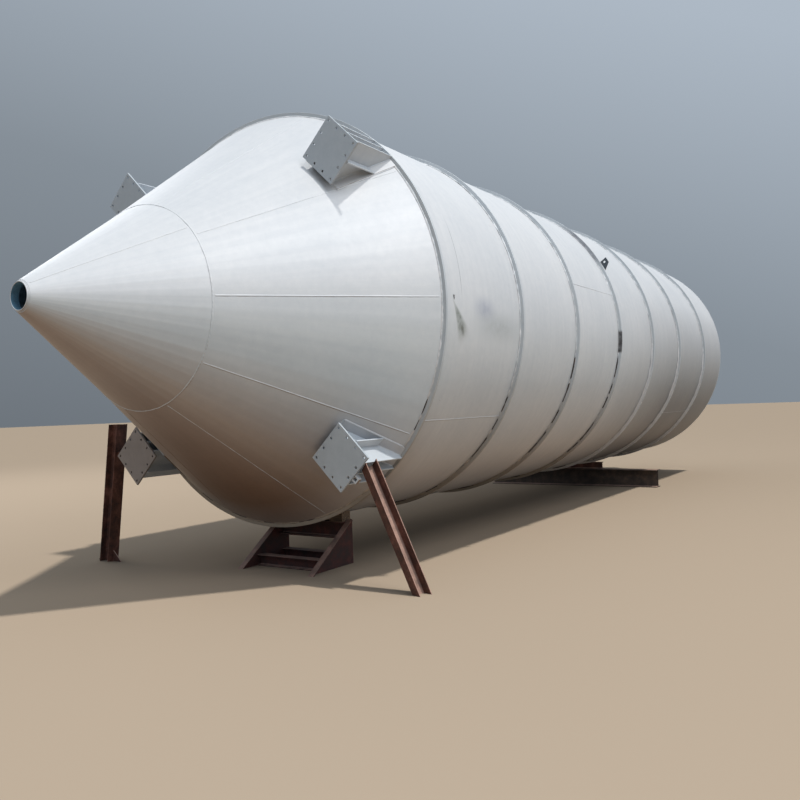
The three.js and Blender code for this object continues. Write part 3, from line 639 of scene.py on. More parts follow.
# Press strokes round each cone, and how much of each stroke's flat is left
UPPER_STROKES, UPPER_FLATNESS = 96, 0.5
LOWER_STROKES, LOWER_FLATNESS = 64, 0.8
# The weld between the cones leans towards the outlet, in radians
CONE_JOINT_LEAN = 0.63


def plate_waves(seed, count=16):
    """Slow unevenness of rolled plate, as a sum of waves that close round the shell, between -1 and 1."""
    rng = np.random.default_rng(seed)
    waves = [(rng.integers(2, 16), rng.uniform(0.5, 6), rng.uniform(0, 2 * np.pi), rng.uniform(0.4, 1))
             for _ in range(count)]
    total = sum(w[3] for w in waves) * 0.6

    def height(x, degrees):
        angle = np.radians(degrees)
        return sum(size * np.sin(turns * angle + per_metre * x + start)
                   for turns, per_metre, start, size in waves) / total
    return height


def seam_peak(degrees, seams, radius, rise, reach):
    """The slight ridge that a seam's straight plate edges leave."""
    peak = 0 * degrees
    for seam in seams:
        away = np.radians((degrees - seam + 180) % 360 - 180) * radius
        peak = peak + rise * np.exp(-np.abs(away) / reach)
    return peak


def press_flats(degrees, count, seed):
    """How far each press stroke's flat lies inside a true circle, as a share of the radius."""
    rng = np.random.default_rng(seed)
    edges = (np.arange(count + 1) + np.append(rng.uniform(-0.3, 0.3, count), 0)) * 360 / count
    edges[-1] = edges[0] + 360
    turned_to = (degrees - edges[0]) % 360 + edges[0]
    place = np.clip(np.searchsorted(edges, turned_to, side="right") - 1, 0, count - 1)
    width = edges[place + 1] - edges[place]
    share = (turned_to - edges[place]) / width * 2 - 1
    return np.radians(width) ** 2 / 8 * (1 - share ** 2)


def plate_tube(stations, columns, wall, rise_at):
    """A tube of plate: outside uneven by rise_at(x, degrees, radius), inside plain and of the second material."""
    degrees = np.arange(columns) * 360 / columns
    x, radius = (np.array(v)[:, None] for v in zip(*stations))
    outside = point(x, radius + rise_at(x, degrees[None, :], radius), degrees[None, :])
    inside = point(x[[-1, 0]], radius[[-1, 0]] - wall, degrees[None, :])
    rows = len(stations)
    faces = grid_faces(rows + 2, columns, True, True)
    return np.concatenate([outside, inside]), faces, [int(i // columns == rows) for i in range(len(faces))], True


def shell_courses():
    for i, (node, seam) in enumerate(zip(COURSES, COURSE_SEAMS)):
        low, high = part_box(node)
        waves = plate_waves(100 + i)
        seams = [seam, seam + 180]

        def rise(x, degrees, radius):
            shrink = sum(np.exp(-((x - edge) / RING_SHRINK_REACH) ** 2) for edge in (low.x, high.x))
            peak = seam_peak(degrees, seams, radius, *SHELL_SEAM_RIDGE)
            return SHELL_WAVE * waves(x, degrees) - RING_SHRINK * shrink + peak - SET_IN

        stations = [(x, SHELL_RADIUS) for x in np.linspace(low.x, high.x, 26)]
        parts = [plate_tube(stations, SHELL_COLUMNS, SHELL_WALL, rise)]
        for k, angle in enumerate(seams):
            parts.append(straight_seam(low.x + 30 * MM, high.x - 6 * MM, angle,
                                       lambda x: SHELL_RADIUS + 0 * x, 40 * i + k))
        parts += [tack(low.x + x, angle) for x, angle in TACKS.get(node, [])]
        paint = MARKED_SILVER if i == 0 else SHELL_SILVER
        make_piece(f"plate_{node}", parts, [paint, SCALE], "silver_paint", node)


def cone_parts(start, end, rows, wall, rise_at, seams, margins, seed, *seam_size):
    """A cone of plate between two ends of (x, radius), with straight seams that stop short by the margins."""
    (start_x, start_radius), (end_x, end_radius) = start, end

    def radius_at(x):
        return start_radius + (end_radius - start_radius) * (x - start_x) / (end_x - start_x)

    stations = [(x, radius_at(x)) for x in np.linspace(start_x, end_x, rows)]
    return [plate_tube(stations, CONE_COLUMNS, wall, rise_at)] + [
        straight_seam(start_x + margins[0], end_x - margins[1], seam, radius_at, seed + k, *seam_size)
        for k, seam in enumerate(seams)]


def hopper():
    petal_seams = [FIRST_PETAL_SEAM + k * 360 / CONE_PETALS for k in range(CONE_PETALS)]
    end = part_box("upper_cone")[1]
    waves = plate_waves(7)

    def upper_rise(x, degrees, radius):
        flats = press_flats(degrees, UPPER_STROKES, 5) * radius
        peak = seam_peak(degrees, petal_seams, radius, *CONE_SEAM_RIDGE)
        return CONE_WAVE * waves(x, degrees) - UPPER_FLATNESS * flats + peak

    def lower_rise(x, degrees, radius):
        return -LOWER_FLATNESS * press_flats(degrees, LOWER_STROKES, 9) * radius

    parts = cone_parts((CONE_SEAM_X, CONE_SEAM_RADIUS), (end.x, end.z - AXIS_Z), 30,
                       CONE_WALL * math.hypot(1, CONE_SLOPE), upper_rise, petal_seams, (8 * MM, 12 * MM), 300)
    make_piece("plate_upper_cone", parts, [PRESSED_SILVER, LINING], "silver_paint", "upper_cone")

    wall = CONE_WALL * 1.2
    parts = cone_parts((CONE_TIP_X, OUTLET_RADIUS + 2 * GAP + wall), (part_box("lower_cone")[1].x, CONE_SEAM_RADIUS),
                       24, wall, lower_rise, LOWER_CONE_SEAMS, (10 * MM, 8 * MM), 330, 11 * MM, 2.6 * MM)
    angles = np.linspace(0, 360, 720, endpoint=False)
    path = point(np.full_like(angles, CONE_SEAM_X), CONE_SEAM_RADIUS - 1 * MM, angles)
    out = outward(angles) * math.cos(CONE_JOINT_LEAN) - math.sin(CONE_JOINT_LEAN) * X_WAY
    across = unit(np.cross(np.roll(path, -1, 0) - np.roll(path, 1, 0), out))
    parts.append(bead(path, across, out, 14 * MM, 4 * MM, 2 * MM, 350, closed=True, lumps=0.3))
    make_piece("plate_lower_cone", parts, [PRESSED_SILVER, LINING], "silver_paint", "lower_cone")

    low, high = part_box("outlet_pipe")
    bore = OUTLET_RADIUS - 7 * MM
    edge = 1.2 * MM
    profile = [(low.x, bore + edge), (low.x, OUTLET_RADIUS - edge), (low.x + edge, OUTLET_RADIUS),
               (high.x, OUTLET_RADIUS), (high.x, bore), (low.x + edge, bore)]
    angles = np.linspace(0, 360, 160, endpoint=False)
    corner = point(np.full_like(angles, CONE_TIP_X), OUTLET_RADIUS, angles)
    weld = fillet(corner, -X_WAY, outward(angles), 6 * MM, 360, closed=True)
    # The outlet's bore carries a painted sky reflection
    make_piece("turned_outlet_pipe", [turned(profile, 96, (3, 4)), weld], [SILVER, BORE_SKY_REFLECTION], "silver_paint",
               "outlet_pipe")


# Rings: flat bar on edge, with a run of weld in each corner

RING_EDGE = 1.5 * MM
RING_WELD = 9 * MM
# How much of the bare corner, dark with rust and painted shade, shows where weld was left out: on the knuckle ring,
# the first ring and the others
BARE_LEGS = (5 * MM, 7 * MM, 9 * MM)
# Underneath, short stretches are left unwelded at this spacing and of these lengths, in degrees
UNDER_RING = np.arange(-172, -74, 13)
UNDER_RING_GAP = (3, 7)


def runs_between(gaps, first, last):
    """The stretches from first to last degrees that the gaps leave."""
    runs, start = [], first
    for low, high in sorted(gaps):
        runs.append((start, low))
        start = high
    return runs + [(start, last)]


def ring_fillet(x, side, slope, leg, run, seed, number=0, lumps=0.3):
    """Weld in the corner between a ring and the plate before it (side -1) or after it (side 1)."""
    count = max(int(math.radians(run[1] - run[0]) * SHELL_RADIUS / (10 * MM)), 3)
    angles = np.linspace(run[0], run[1], count)
    up = outward(angles)
    away = (side * X_WAY + up * slope * side) / math.hypot(1, slope)
    return fillet(point(np.full_like(angles, x), SHELL_RADIUS, angles), away, up, leg, seed, number, lumps=lumps)


def rings():
    for i, node in enumerate(RINGS):
        low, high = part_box(node)
        profile = flat_ring(low.x, high.x, SHELL_RADIUS + GAP, high.z - AXIS_Z, RING_EDGE)
        parts = [turned(profile, SHELL_COLUMNS)]
        rng = np.random.default_rng(500 + i)
        gaps = list(UNWELDED.get(node, [])) + [(a, a + rng.uniform(*UNDER_RING_GAP)) for a in UNDER_RING]
        slope = CONE_SLOPE if i == 0 else 0
        for k, run in enumerate(runs_between(gaps, -180, 180)):
            parts.append(ring_fillet(low.x, -1, slope, RING_WELD, run, 1000 * i + k, lumps=0.55))
        # Dark strips in the unwelded corners: rust and painted shade
        for k, gap in enumerate(gaps):
            parts.append(ring_fillet(low.x, -1, slope, BARE_LEGS[min(i, 2)], gap, 1000 * i + 400 + k, 1, 0.5))
        parts.append(ring_fillet(high.x, 1, 0, RING_WELD, (-180, 180), 1000 * i + 800))
        # The rings' coat carries painted shade
        make_piece(f"bar_{node}", parts, [SPLICED_SILVER if i == 3 else SHADED_RING_SILVER, BARE_RUST_AND_SHADE], "silver_paint", node)


# Flat plates, cut from an outline with holes and given a small dressed edge


def taken_from(work, smooth):
    """The part that a bmesh holds."""
    work.verts.index_update()
    part = ([tuple(v.co) for v in work.verts], [[v.index for v in face.verts] for face in work.faces], 0, smooth)
    work.free()
    return part


def cut_plate(outline, holes, thickness, origin, x_way, y_way, edge=1.2 * MM):
    """A plate in the plane of x_way and y_way, its middle at origin. Holes are (x, y, radius, sides)."""
    curve = bpy.data.curves.new("outline", "CURVE")
    curve.dimensions = "2D"
    curve.fill_mode = "BOTH"
    curve.extrude = thickness / 2 - edge
    curve.bevel_depth = edge
    curve.bevel_resolution = 1
    curve.offset = -edge
    loops = [outline]
    for x, y, radius, sides in holes:
        turn = (np.arange(sides) + 0.5) * 2 * np.pi / sides
        loops.append([(x + radius * np.cos(a), y + radius * np.sin(a)) for a in turn])
    for loop in loops:
        spline = curve.splines.new("POLY")
        spline.points.add(len(loop) - 1)
        for corner, (x, y) in zip(spline.points, loop):
            corner.co = (x, y, 0, 1)
        spline.use_cyclic_u = True
    carrier = bpy.data.objects.new("outline", curve)
    mesh = bpy.data.meshes.new_from_object(carrier)
    work = bmesh.new()
    work.from_mesh(mesh)
    bmesh.ops.remove_doubles(work, verts=work.verts, dist=0.02 * MM)
    x_way, y_way = Vector(x_way), Vector(y_way)
    turn = Matrix((x_way, y_way, x_way.cross(y_way))).transposed().to_4x4()
    work.transform(Matrix.Translation(Vector(origin)) @ turn)
    part = taken_from(work, False)
    bpy.data.objects.remove(carrier)
    bpy.data.curves.remove(curve)
    bpy.data.meshes.remove(mesh)
    return part


# Leg brackets: u points out from the silo's axis, t runs round it

PLATE_FACE_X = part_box("base_plate_near_upper")[0].x
PLATE_BACK_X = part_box("base_plate_near_upper")[1].x
BASE_PLATE_SIDE = 0.390
BASE_PLATE_CENTRE = 1.723
BOLT_PITCH = 0.110
BOLTS_PER_SIDE = 4
BOLT_HOLE_RADIUS = 0.011
WEB_PLATE = 0.012
WEB_SPACING = 0.120
WEB_OUTER_EDGE = 1.908
WEB_WELD = 7 * MM
INNER_FLANGE_LEVEL = 1.742
INNER_FLANGE_WIDTH = 0.410
PAD_WIDTH = 0.416
PAD_THICKNESS = 0.010
PAD_FRONT_X = KNUCKLE_X - 0.485
PAD_WELD = 8 * MM


def cone_level(x, t, lift):
    """The level u at which a plane at t meets the cone, lifted off it by lift square to its surface."""
    radius = SHELL_RADIUS + CONE_SLOPE * (x - KNUCKLE_X)
    return np.sqrt((radius + lift * math.hypot(1, CONE_SLOPE)) ** 2 - t ** 2)


def spot(degrees, x, u, t):
    """Points in a bracket's own measures."""
    c, s = math.cos(math.radians(degrees)), math.sin(math.radians(degrees))
    return np.stack(np.broadcast_arrays(x, t * s - u * c, AXIS_Z + u * s + t * c), -1)


def base_plate(place, degrees):
    reach = BOLT_PITCH * (BOLTS_PER_SIDE - 1) / 2
    steps = [i * BOLT_PITCH - reach for i in range(BOLTS_PER_SIDE)]
    holes = [(a, b, BOLT_HOLE_RADIUS, 28) for a in steps for b in steps if reach - 1e-6 < max(abs(a), abs(b))]
    middle = spot(degrees, (PLATE_FACE_X + PLATE_BACK_X) / 2, BASE_PLATE_CENTRE, 0)
    plate = cut_plate(square(BASE_PLATE_SIDE / 2), holes, PLATE_BACK_X - PLATE_FACE_X, middle, outward(degrees),
                      outward(degrees + 90))
    # Painted shade on the base plates, and deep painted shade on the far lower one
    paint = DEEP_SHADE_SILVER if place == "far_lower" else SHADED_PLATE_SILVER
    make_piece(f"drilled_base_plate_{place}", [plate], [paint], "silver_paint", f"base_plate_{place}")


def bracket_pad(place, degrees, seed):
    """The pad, rolled to lie on the cone, and its weld along both sides and the front."""
    half = PAD_WIDTH / 2
    rows, columns = 24, 24
    x = np.linspace(PAD_FRONT_X, KNUCKLE_X - 1 * MM, rows)[:, None]
    t = np.linspace(-half, half, columns)[None, :]
    top, under = (spot(degrees, x, cone_level(x, t, lift), t) for lift in (PAD_THICKNESS, 0.5 * MM))
    faces = grid_faces(2 * rows, columns, True, False)
    sides = [[k * columns + c for k in range(2 * rows)] for c in (0, columns - 1)]
    parts = [(np.concatenate([top, under[::-1]]), faces + sides, 0, True)]
    line = np.linspace(PAD_FRONT_X, KNUCKLE_X - 14 * MM, 110)
    for k, side in enumerate((-1, 1)):
        path, above = (spot(degrees, line, cone_level(line, side * half, lift), side * half) for lift in (0, 1))
        parts.append(fillet(path, side * outward(degrees + 90), unit(above - path), PAD_WELD, seed + k))
    line = np.linspace(-half, half, 60)
    path = spot(degrees, PAD_FRONT_X, cone_level(PAD_FRONT_X, line, 0), line)
    u_way = outward(degrees)
    parts.append(fillet(path, unit(-X_WAY - u_way * CONE_SLOPE), unit(u_way - CONE_SLOPE * X_WAY), PAD_WELD,
                        seed + 3))
    make_piece(f"rolled_pad_{place}", parts, [SILVER], "silver_paint", f"bracket_pad_{place}")


def bracket_webs(place, degrees, seed):
    """Three webs on edge and an inner flange across them, welded to the pad and the base plate."""
    u_way, t_way = outward(degrees), outward(degrees + 90)
    start, end = PLATE_BACK_X + GAP, KNUCKLE_X - 1 * MM
    inner_edge = BASE_PLATE_CENTRE - BASE_PLATE_SIDE / 2
    parts = []
    for k, t in enumerate((-WEB_SPACING, 0, WEB_SPACING)):
        line = np.concatenate([np.linspace(start, PAD_FRONT_X - 1 * MM, 6), np.linspace(PAD_FRONT_X, end, 24)])
        lifts = np.where(line < PAD_FRONT_X, GAP, PAD_THICKNESS + GAP)
        outline = list(zip(line - start, np.maximum(cone_level(line, t, lifts), inner_edge)))
        outline += [(end - start, WEB_OUTER_EDGE), (0, WEB_OUTER_EDGE)]
        parts.append(cut_plate(outline, [], WEB_PLATE, spot(degrees, start, 0, t), X_WAY, u_way))
        for m, side in enumerate((-1, 1)):
            face_t = t + side * WEB_PLATE / 2
            line = np.linspace(PAD_FRONT_X + 14 * MM, end, 90)
            path = spot(degrees, line, cone_level(line, face_t, PAD_THICKNESS), face_t)
            parts.append(fillet(path, side * t_way, u_way, WEB_WELD, seed + 10 * k + m))
            line = np.linspace(inner_edge + 4 * MM, WEB_OUTER_EDGE - 4 * MM, 60)
            parts.append(fillet(spot(degrees, start, line, face_t), side * t_way, X_WAY, WEB_WELD,
                                seed + 40 + 10 * k + m))
    half = INNER_FLANGE_WIDTH / 2
    across = np.linspace(-half, half, 13)
    meets = KNUCKLE_X + (np.hypot(INNER_FLANGE_LEVEL, across) - SHELL_RADIUS) / CONE_SLOPE - 16 * MM
    outline = [(0, -half)] + list(zip(meets - start, across)) + [(0, half)]
    parts.append(cut_plate(outline, [], WEB_PLATE, spot(degrees, start, INNER_FLANGE_LEVEL, 0), X_WAY, t_way))
    line = np.linspace(-half, half, 100)
    for k, side in enumerate((-1, 1)):
        path = spot(degrees, start, INNER_FLANGE_LEVEL + side * WEB_PLATE / 2, line)
        parts.append(fillet(path, side * u_way, X_WAY, WEB_WELD, seed + 80 + k))
    # The webs' lighter coat is painted light on their sunlit tops
    make_piece(f"welded_webs_{place}", parts, [LIT_WEB_SILVER], "silver_paint", f"bracket_webs_{place}")


def brackets():
    for k, (place, degrees) in enumerate(BRACKETS.items()):
        base_plate(place, degrees)
        bracket_pad(place, degrees, 7000 + 200 * k)
        bracket_webs(place, degrees, 7000 + 200 * k)


# Rolled sections, with their root radii and slightly softened toes

TOE = 1.2 * MM
GROUND_CUT = (Vector((0, 0, 0)), Vector((0, 0, -1)))


def h_profile(depth, width, web, flange, root=9 * MM):
    turn = np.linspace(np.pi, np.pi / 2, 5)
    centre = (web / 2 + root, depth / 2 - flange - root)
    quarter = [(centre[0] + root * np.cos(a), centre[1] + root * np.sin(a)) for a in turn]
    quarter += [(width / 2 - TOE, depth / 2 - flange), (width / 2, depth / 2 - flange + TOE),
                (width / 2, depth / 2 - TOE), (width / 2 - TOE, depth / 2)]
    upper = quarter + [(-x, y) for x, y in quarter[::-1]]
    return upper + [(-x, -y) for x, y in upper]


def channel_profile(depth, width, web, flange, root=9 * MM):
    turn = np.linspace(np.pi / 2, 0, 5)
    centre = (depth / 2 - flange - root, -web - root)
    side = [(centre[0] + root * np.cos(a), centre[1] + root * np.sin(a)) for a in turn]
    side += [(depth / 2 - flange, -width + TOE), (depth / 2 - flange + TOE, -width), (depth / 2 - TOE, -width),
             (depth / 2, -width + TOE), (depth / 2, -TOE), (depth / 2 - TOE, 0)]
    return side + [(-x, y) for x, y in side[::-1]]


def section_bar(profile, start, end, roll=0, cuts=()):
    """A bar of a section from start to end, its section's first way near X, cut off by planes. Each cut is
    (point, way), and what lies on the way's side of the point goes."""
    along = Vector(end) - Vector(start)
    z = along.normalized()
    x = Vector(X_WAY)
    x = (x - z * x.dot(z)).normalized()
    y = z.cross(x)
    c, s = math.cos(roll), math.sin(roll)
    ring = [(a * c - b * s, a * s + b * c) for a, b in profile]
    work = bmesh.new()
    corners = [work.verts.new(Vector(start) + x * a + y * b + z * r) for r in (0, along.length) for a, b in ring]
    for face in tube_faces(2, len(ring)):
        work.faces.new([corners[i] for i in face])
    for place, way in cuts:
        whole = list(work.verts) + list(work.edges) + list(work.faces)
        cut = bmesh.ops.bisect_plane(work, geom=whole, plane_co=place, plane_no=way, clear_outer=True)
        edges = [e for e in cut["geom_cut"] if isinstance(e, bmesh.types.BMEdge)]
        bmesh.ops.edgeloop_fill(work, edges=edges)
    return taken_from(work, True)


def cross_bar(node, web, flange):
    """A lying section that fills its node's box, its length along Y."""
    low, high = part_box(node)
    middle = (low + high) / 2
    return section_bar(h_profile(high.z - low.z, high.x - low.x, web, flange, 12 * MM),
                       (middle.x, low.y, middle.z), (middle.x, high.y, middle.z))


# Lifting lug and sleeve

LUG_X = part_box("lifting_lug")[0].x
LUG_THICKNESS = 0.016
LUG_DEGREES = 30
LUG_OUTLINE = [(-0.057, 0), (0.070, 0), (0.078, 0.088), (0.004, 0.088)]
LUG_HOLE = (0.039, 0.042, 0.016, 32)
SLEEVE_SIDE = 0.056
SLEEVE_BORE = 0.030
SLEEVE_LENGTH = 0.040
SLEEVE_ALONG = -0.029


def lug():
    u_way, t_way = outward(LUG_DEGREES), outward(LUG_DEGREES + 90)
    middle = spot(LUG_DEGREES, LUG_X + LUG_THICKNESS / 2, SHELL_RADIUS, 0)
    parts = [cut_plate(LUG_OUTLINE, [LUG_HOLE], LUG_THICKNESS, middle, t_way, u_way)]
    line = np.linspace(LUG_OUTLINE[0][0], LUG_OUTLINE[1][0], 30)
    for side, x in enumerate((LUG_X, LUG_X + LUG_THICKNESS)):
        path = spot(LUG_DEGREES, x, np.sqrt(SHELL_RADIUS ** 2 - line ** 2), line)
        parts.append(fillet(path, (2 * side - 1) * X_WAY, u_way, 9 * MM, 600 + side))
    make_piece("cut_lifting_lug", parts, [SCALE], "bare_steel", "lifting_lug")


def sleeve():
    degrees = BRACKETS["near_lower"]
    half = SLEEVE_SIDE / 2
    middle = spot(degrees, PLATE_BACK_X + GAP + SLEEVE_LENGTH / 2, WEB_OUTER_EDGE + GAP + half, SLEEVE_ALONG)
    bore = (0, 0, SLEEVE_BORE / math.sqrt(2), 4)
    tube = cut_plate(square(half), [bore], SLEEVE_LENGTH, middle, outward(degrees + 90), outward(degrees))
    make_piece("cut_sleeve", [tube], [SILVER], "silver_paint", "bracket_sleeve")


# Roof: shallow cone of plate, with a filter collar, a manhole and a vent spigot

ROOF_SLOPE = math.tan(math.radians(10))
ROOF_PLATE = 6 * MM
# Each fitting's place above the axis, its radius and its top, and the count of its cover's bolts
FILTER = (0.0, 0.450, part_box("filter_collar")[1].x, 24)
MANHOLE = (1.150, 0.300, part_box("manhole_neck")[1].x, 16)
VENT = (-1.180, 0.136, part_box("vent_spigot")[1].x)
NECK_COLUMNS = 120
COVER_LIP = 0.050
VENT_LIP = 0.045
FLANGE = 12 * MM
VENT_FLANGE = 10 * MM
COVER_BOLT = 12 * MM
CENTRE_HOLE = 0.004
ROOF_SEAMS = 6
FIRST_ROOF_SEAM = 15
RIM_STEPS = 1100
GRIP_PLACE = 0.16
GRIP_HALF = 0.06
GRIP_RISE = 0.03
GRIP_BOW = 0.02


def roof_level(radius):
    return ROOF_X + GAP + ROOF_PLATE + (SHELL_RADIUS - radius) * ROOF_SLOPE


def bored(part, holes):
    """A turned part with round holes bored through it along X. Holes are (place above the axis, radius)."""
    blank = placed("blank", closed_mesh("blank", part[0].reshape(-1, 3).tolist(), part[1]))
    cutters = []
    for offset, radius in holes:
        middle = Matrix.Translation((roof_level(abs(offset)), 0, AXIS_Z + offset))
        cutter = bmesh.new()
        bmesh.ops.create_cone(cutter, cap_ends=True, segments=96, radius1=radius, radius2=radius, depth=0.6,
                              matrix=middle @ Matrix.Rotation(math.pi / 2, 4, "Y"))
        cutter_mesh = bpy.data.meshes.new("cutter")
        cutter.to_mesh(cutter_mesh)
        cutter.free()
        cutters.append(placed("cutter", cutter_mesh))
        boolean = blank.modifiers.new("bore", "BOOLEAN")
        boolean.object = cutters[-1]
        boolean.solver = "EXACT"
    bpy.context.view_layer.update()
    result = bmesh.new()
    result.from_object(blank, bpy.context.evaluated_depsgraph_get())
    for thing in [blank] + cutters:
        data = thing.data
        bpy.data.objects.remove(thing)
        bpy.data.meshes.remove(data)
    return taken_from(result, True)


def neck_joint(offset, radius, seed, leg=8 * MM):
    """Fillet weld where a neck stands on the roof, in steps of about 12 mm."""
    angles = np.linspace(0, 360, max(int(radius * 6.28 / 0.012), 60), endpoint=False)
    ring = point(0, radius, angles) + offset * Z_WAY
    ring[:, 0] = roof_level(np.hypot(ring[:, 1], ring[:, 2] - AXIS_Z))
    return fillet(ring, outward(angles), X_WAY, leg, seed, closed=True)


def hex_bolt(x, y, z, size, way):
    """A bolt head on its washer that faces +X or the other way, in shares of its thread's size."""
    turn = np.arange(24) * 2 * np.pi / 24
    corner = 0.87 * size / np.cos((turn % (np.pi / 3)) - np.pi / 6)
    rows = [(0, size, None), (0.15 * size, size, None), (0.15 * size, None, 1.0), (0.72 * size, None, 1.0),
            (0.80 * size, None, 0.86)]
    points = [[(x + way * rise, y + r * np.cos(a), z + r * np.sin(a))
               for a, r in zip(turn, np.full(24, radius) if radius else corner * share)]
              for rise, radius, share in rows]
    faces = grid_faces(len(rows), 24, False, True) + [list(range(4 * 24, 5 * 24))]
    return np.array(points).reshape(-1, 3), faces, 1, False


def lidded_neck(node, cover_node, fitting, seed, under):
    """A neck with a flange ring. The parts of its round cover come back, with bolts over or under the lips."""
    offset, radius, top, bolts = fitting
    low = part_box(node)[0].x
    edge = 1 * MM
    wall = [(low, radius), (top, radius), (top, radius - ROOF_PLATE), (low, radius - ROOF_PLATE)]
    lip = radius + COVER_LIP
    flange = flat_ring(top - FLANGE, top, radius + 0.2 * MM, lip, edge)
    make_piece(f"flanged_{node}", [turned(wall, NECK_COLUMNS, (), offset), turned(flange, NECK_COLUMNS, (), offset),
                                   neck_joint(offset, radius, seed)], [SILVER], "silver_paint", node)
    low, high = (v.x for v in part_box(cover_node))
    parts = [turned(flat_ring(low, high, 1 * MM, lip, edge), NECK_COLUMNS, (), offset)]
    x, way = (low - FLANGE - GAP, -1) if under else (high, 1)
    r = radius + COVER_LIP / 2
    for angle in np.arange(bolts) * 2 * np.pi / bolts:
        parts.append(hex_bolt(x, r * np.cos(angle), AXIS_Z + offset + r * np.sin(angle), COVER_BOLT, way))
    return parts


def round_bar(path, radius):
    path = np.array(path)
    along = unit(np.gradient(path, axis=0))
    up = np.cross(along, Y_WAY)
    turn = np.arange(14) * 2 * np.pi / 14
    points = path[:, None] + radius * (Y_WAY * np.cos(turn)[None, :, None]
                                       + up[:, None] * np.sin(turn)[None, :, None])
    return points, tube_faces(len(path), 14), 0, True


def roof():
    profile = [(ROOF_X + GAP, SHELL_RADIUS - 1 * MM), (roof_level(SHELL_RADIUS), SHELL_RADIUS - 1 * MM)]
    profile += [(roof_level(radius), radius) for radius in (0.9, 0.45, CENTRE_HOLE)]
    profile += [(roof_level(CENTRE_HOLE) - ROOF_PLATE, CENTRE_HOLE)]
    parts = [bored(turned(profile, 192), [(f[0], f[1] - ROOF_PLATE) for f in (FILTER, MANHOLE, VENT)])]
    r = np.linspace(FILTER[1] + 14 * MM, SHELL_RADIUS - 14 * MM, 300)
    for k in range(ROOF_SEAMS):
        angle = FIRST_ROOF_SEAM + k * 360 / ROOF_SEAMS
        out = X_WAY + outward(angle) * ROOF_SLOPE
        across = np.cross(outward(angle) - ROOF_SLOPE * X_WAY, out)
        parts.append(bead(point(roof_level(r), r, angle), unit(across), unit(out), 13 * MM, 2.6 * MM, 1 * MM,
                          800 + k))
    around = np.linspace(0, 360, RIM_STEPS, endpoint=False)
    parts.append(bead(point(ROOF_X, SHELL_RADIUS - 2 * MM, around), X_WAY, outward(around), 12 * MM, 4 * MM,
                      1 * MM, 820, closed=True))
    make_piece("welded_roof", parts, [SILVER], "silver_paint", "roof_plate")

    parts = lidded_neck("filter_collar", "filter_cover", FILTER, 830, under=True)
    make_piece("bolted_filter_cover", parts, [SILVER, SCALE], "silver_paint", "filter_cover")

    parts = lidded_neck("manhole_neck", "manhole_cover", MANHOLE, 840, under=False)
    face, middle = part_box("manhole_cover")[1].x, AXIS_Z + MANHOLE[0]
    for y in (-GRIP_PLACE, GRIP_PLACE):
        path = [(face - 2 * MM, y, middle - GRIP_HALF)]
        path += [(face + GRIP_RISE + GRIP_BOW * np.sin(a), y, middle - GRIP_HALF * np.cos(a))
                 for a in np.linspace(0, np.pi, 13)]
        path += [(face - 2 * MM, y, middle + GRIP_HALF)]
        parts.append(round_bar(path, 6 * MM))
    make_piece("bolted_manhole_cover", parts, [SILVER, SCALE], "silver_paint", "manhole_cover")

    offset, radius, top = VENT
    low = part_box("vent_spigot")[0].x
    lip, edge, back = radius + VENT_LIP, 1 * MM, top - VENT_FLANGE
    profile = [(low, radius), (back, radius), (back, lip - edge), (back + edge, lip), (top - edge, lip),
               (top, lip - edge), (top, radius - ROOF_PLATE), (low, radius - ROOF_PLATE)]
    # The vent's bore carries a painted sky reflection
    make_piece("flanged_vent_spigot", [turned(profile, 96, (6,), offset), neck_joint(offset, radius, 850, 6 * MM)],
               [SILVER, BORE_SKY_REFLECTION], "silver_paint", "vent_spigot")


# Workshop supports, standing on the ground at z = 0. Their places along X are taken from the knuckle ring.

FRONT_X = KNUCKLE_X - GAP
NEAR_PROP = Vector((FRONT_X - 0.398, -1.804, 0)), Vector((FRONT_X - 0.440, -1.395, AXIS_Z - 1.313))
NEAR_PROP_ROLL = math.radians(-17)
FAR_PROP = Vector((FRONT_X - 0.485, 1.783, 0)), Vector((FRONT_X - 0.485, 1.579, AXIS_Z - 0.912))
FAR_PROP_DEPTH = 0.125
# Gussets at the far prop's foot: side and reach
FAR_PROP_GUSSETS = [(-1, 0.130), (1, 0.090)]
FAR_PROP_GUSSET_HEIGHT = 0.120
STOOL_TOE_X = -0.254
STOOL_BACK_X = 0.400
STOOL_SPLAY = 1.431
STOOL_PLATE = 12 * MM
# The stool's two end plates: place along Y and height
STOOL_ENDS = {-0.600: 0.408, 0.190: 0.390}
STOOL_BRACE = 10 * MM
STOOL_BRACE_WIDTH = 50 * MM
STOOL_WELD = 6 * MM
RUNNER_X = (-0.010, 0.345)
RUNNER_SIZE = 0.100
RUNNER_WELD_HALF = 0.045
# Sections that lie along Y: name, web, flange, material, slot and node
LYING_BARS = [
    ("rolled_rear_beam", 8 * MM, 12 * MM, BEAM, "red_primer", "rear_cross_beam"),
    ("rolled_rear_packing", 6 * MM, 8 * MM, RUST, "rusty_steel", "rear_packing"),
    ("rolled_stool_beam", 7 * MM, 10 * MM, PRIMER, "red_primer", "stool_beam"),
]


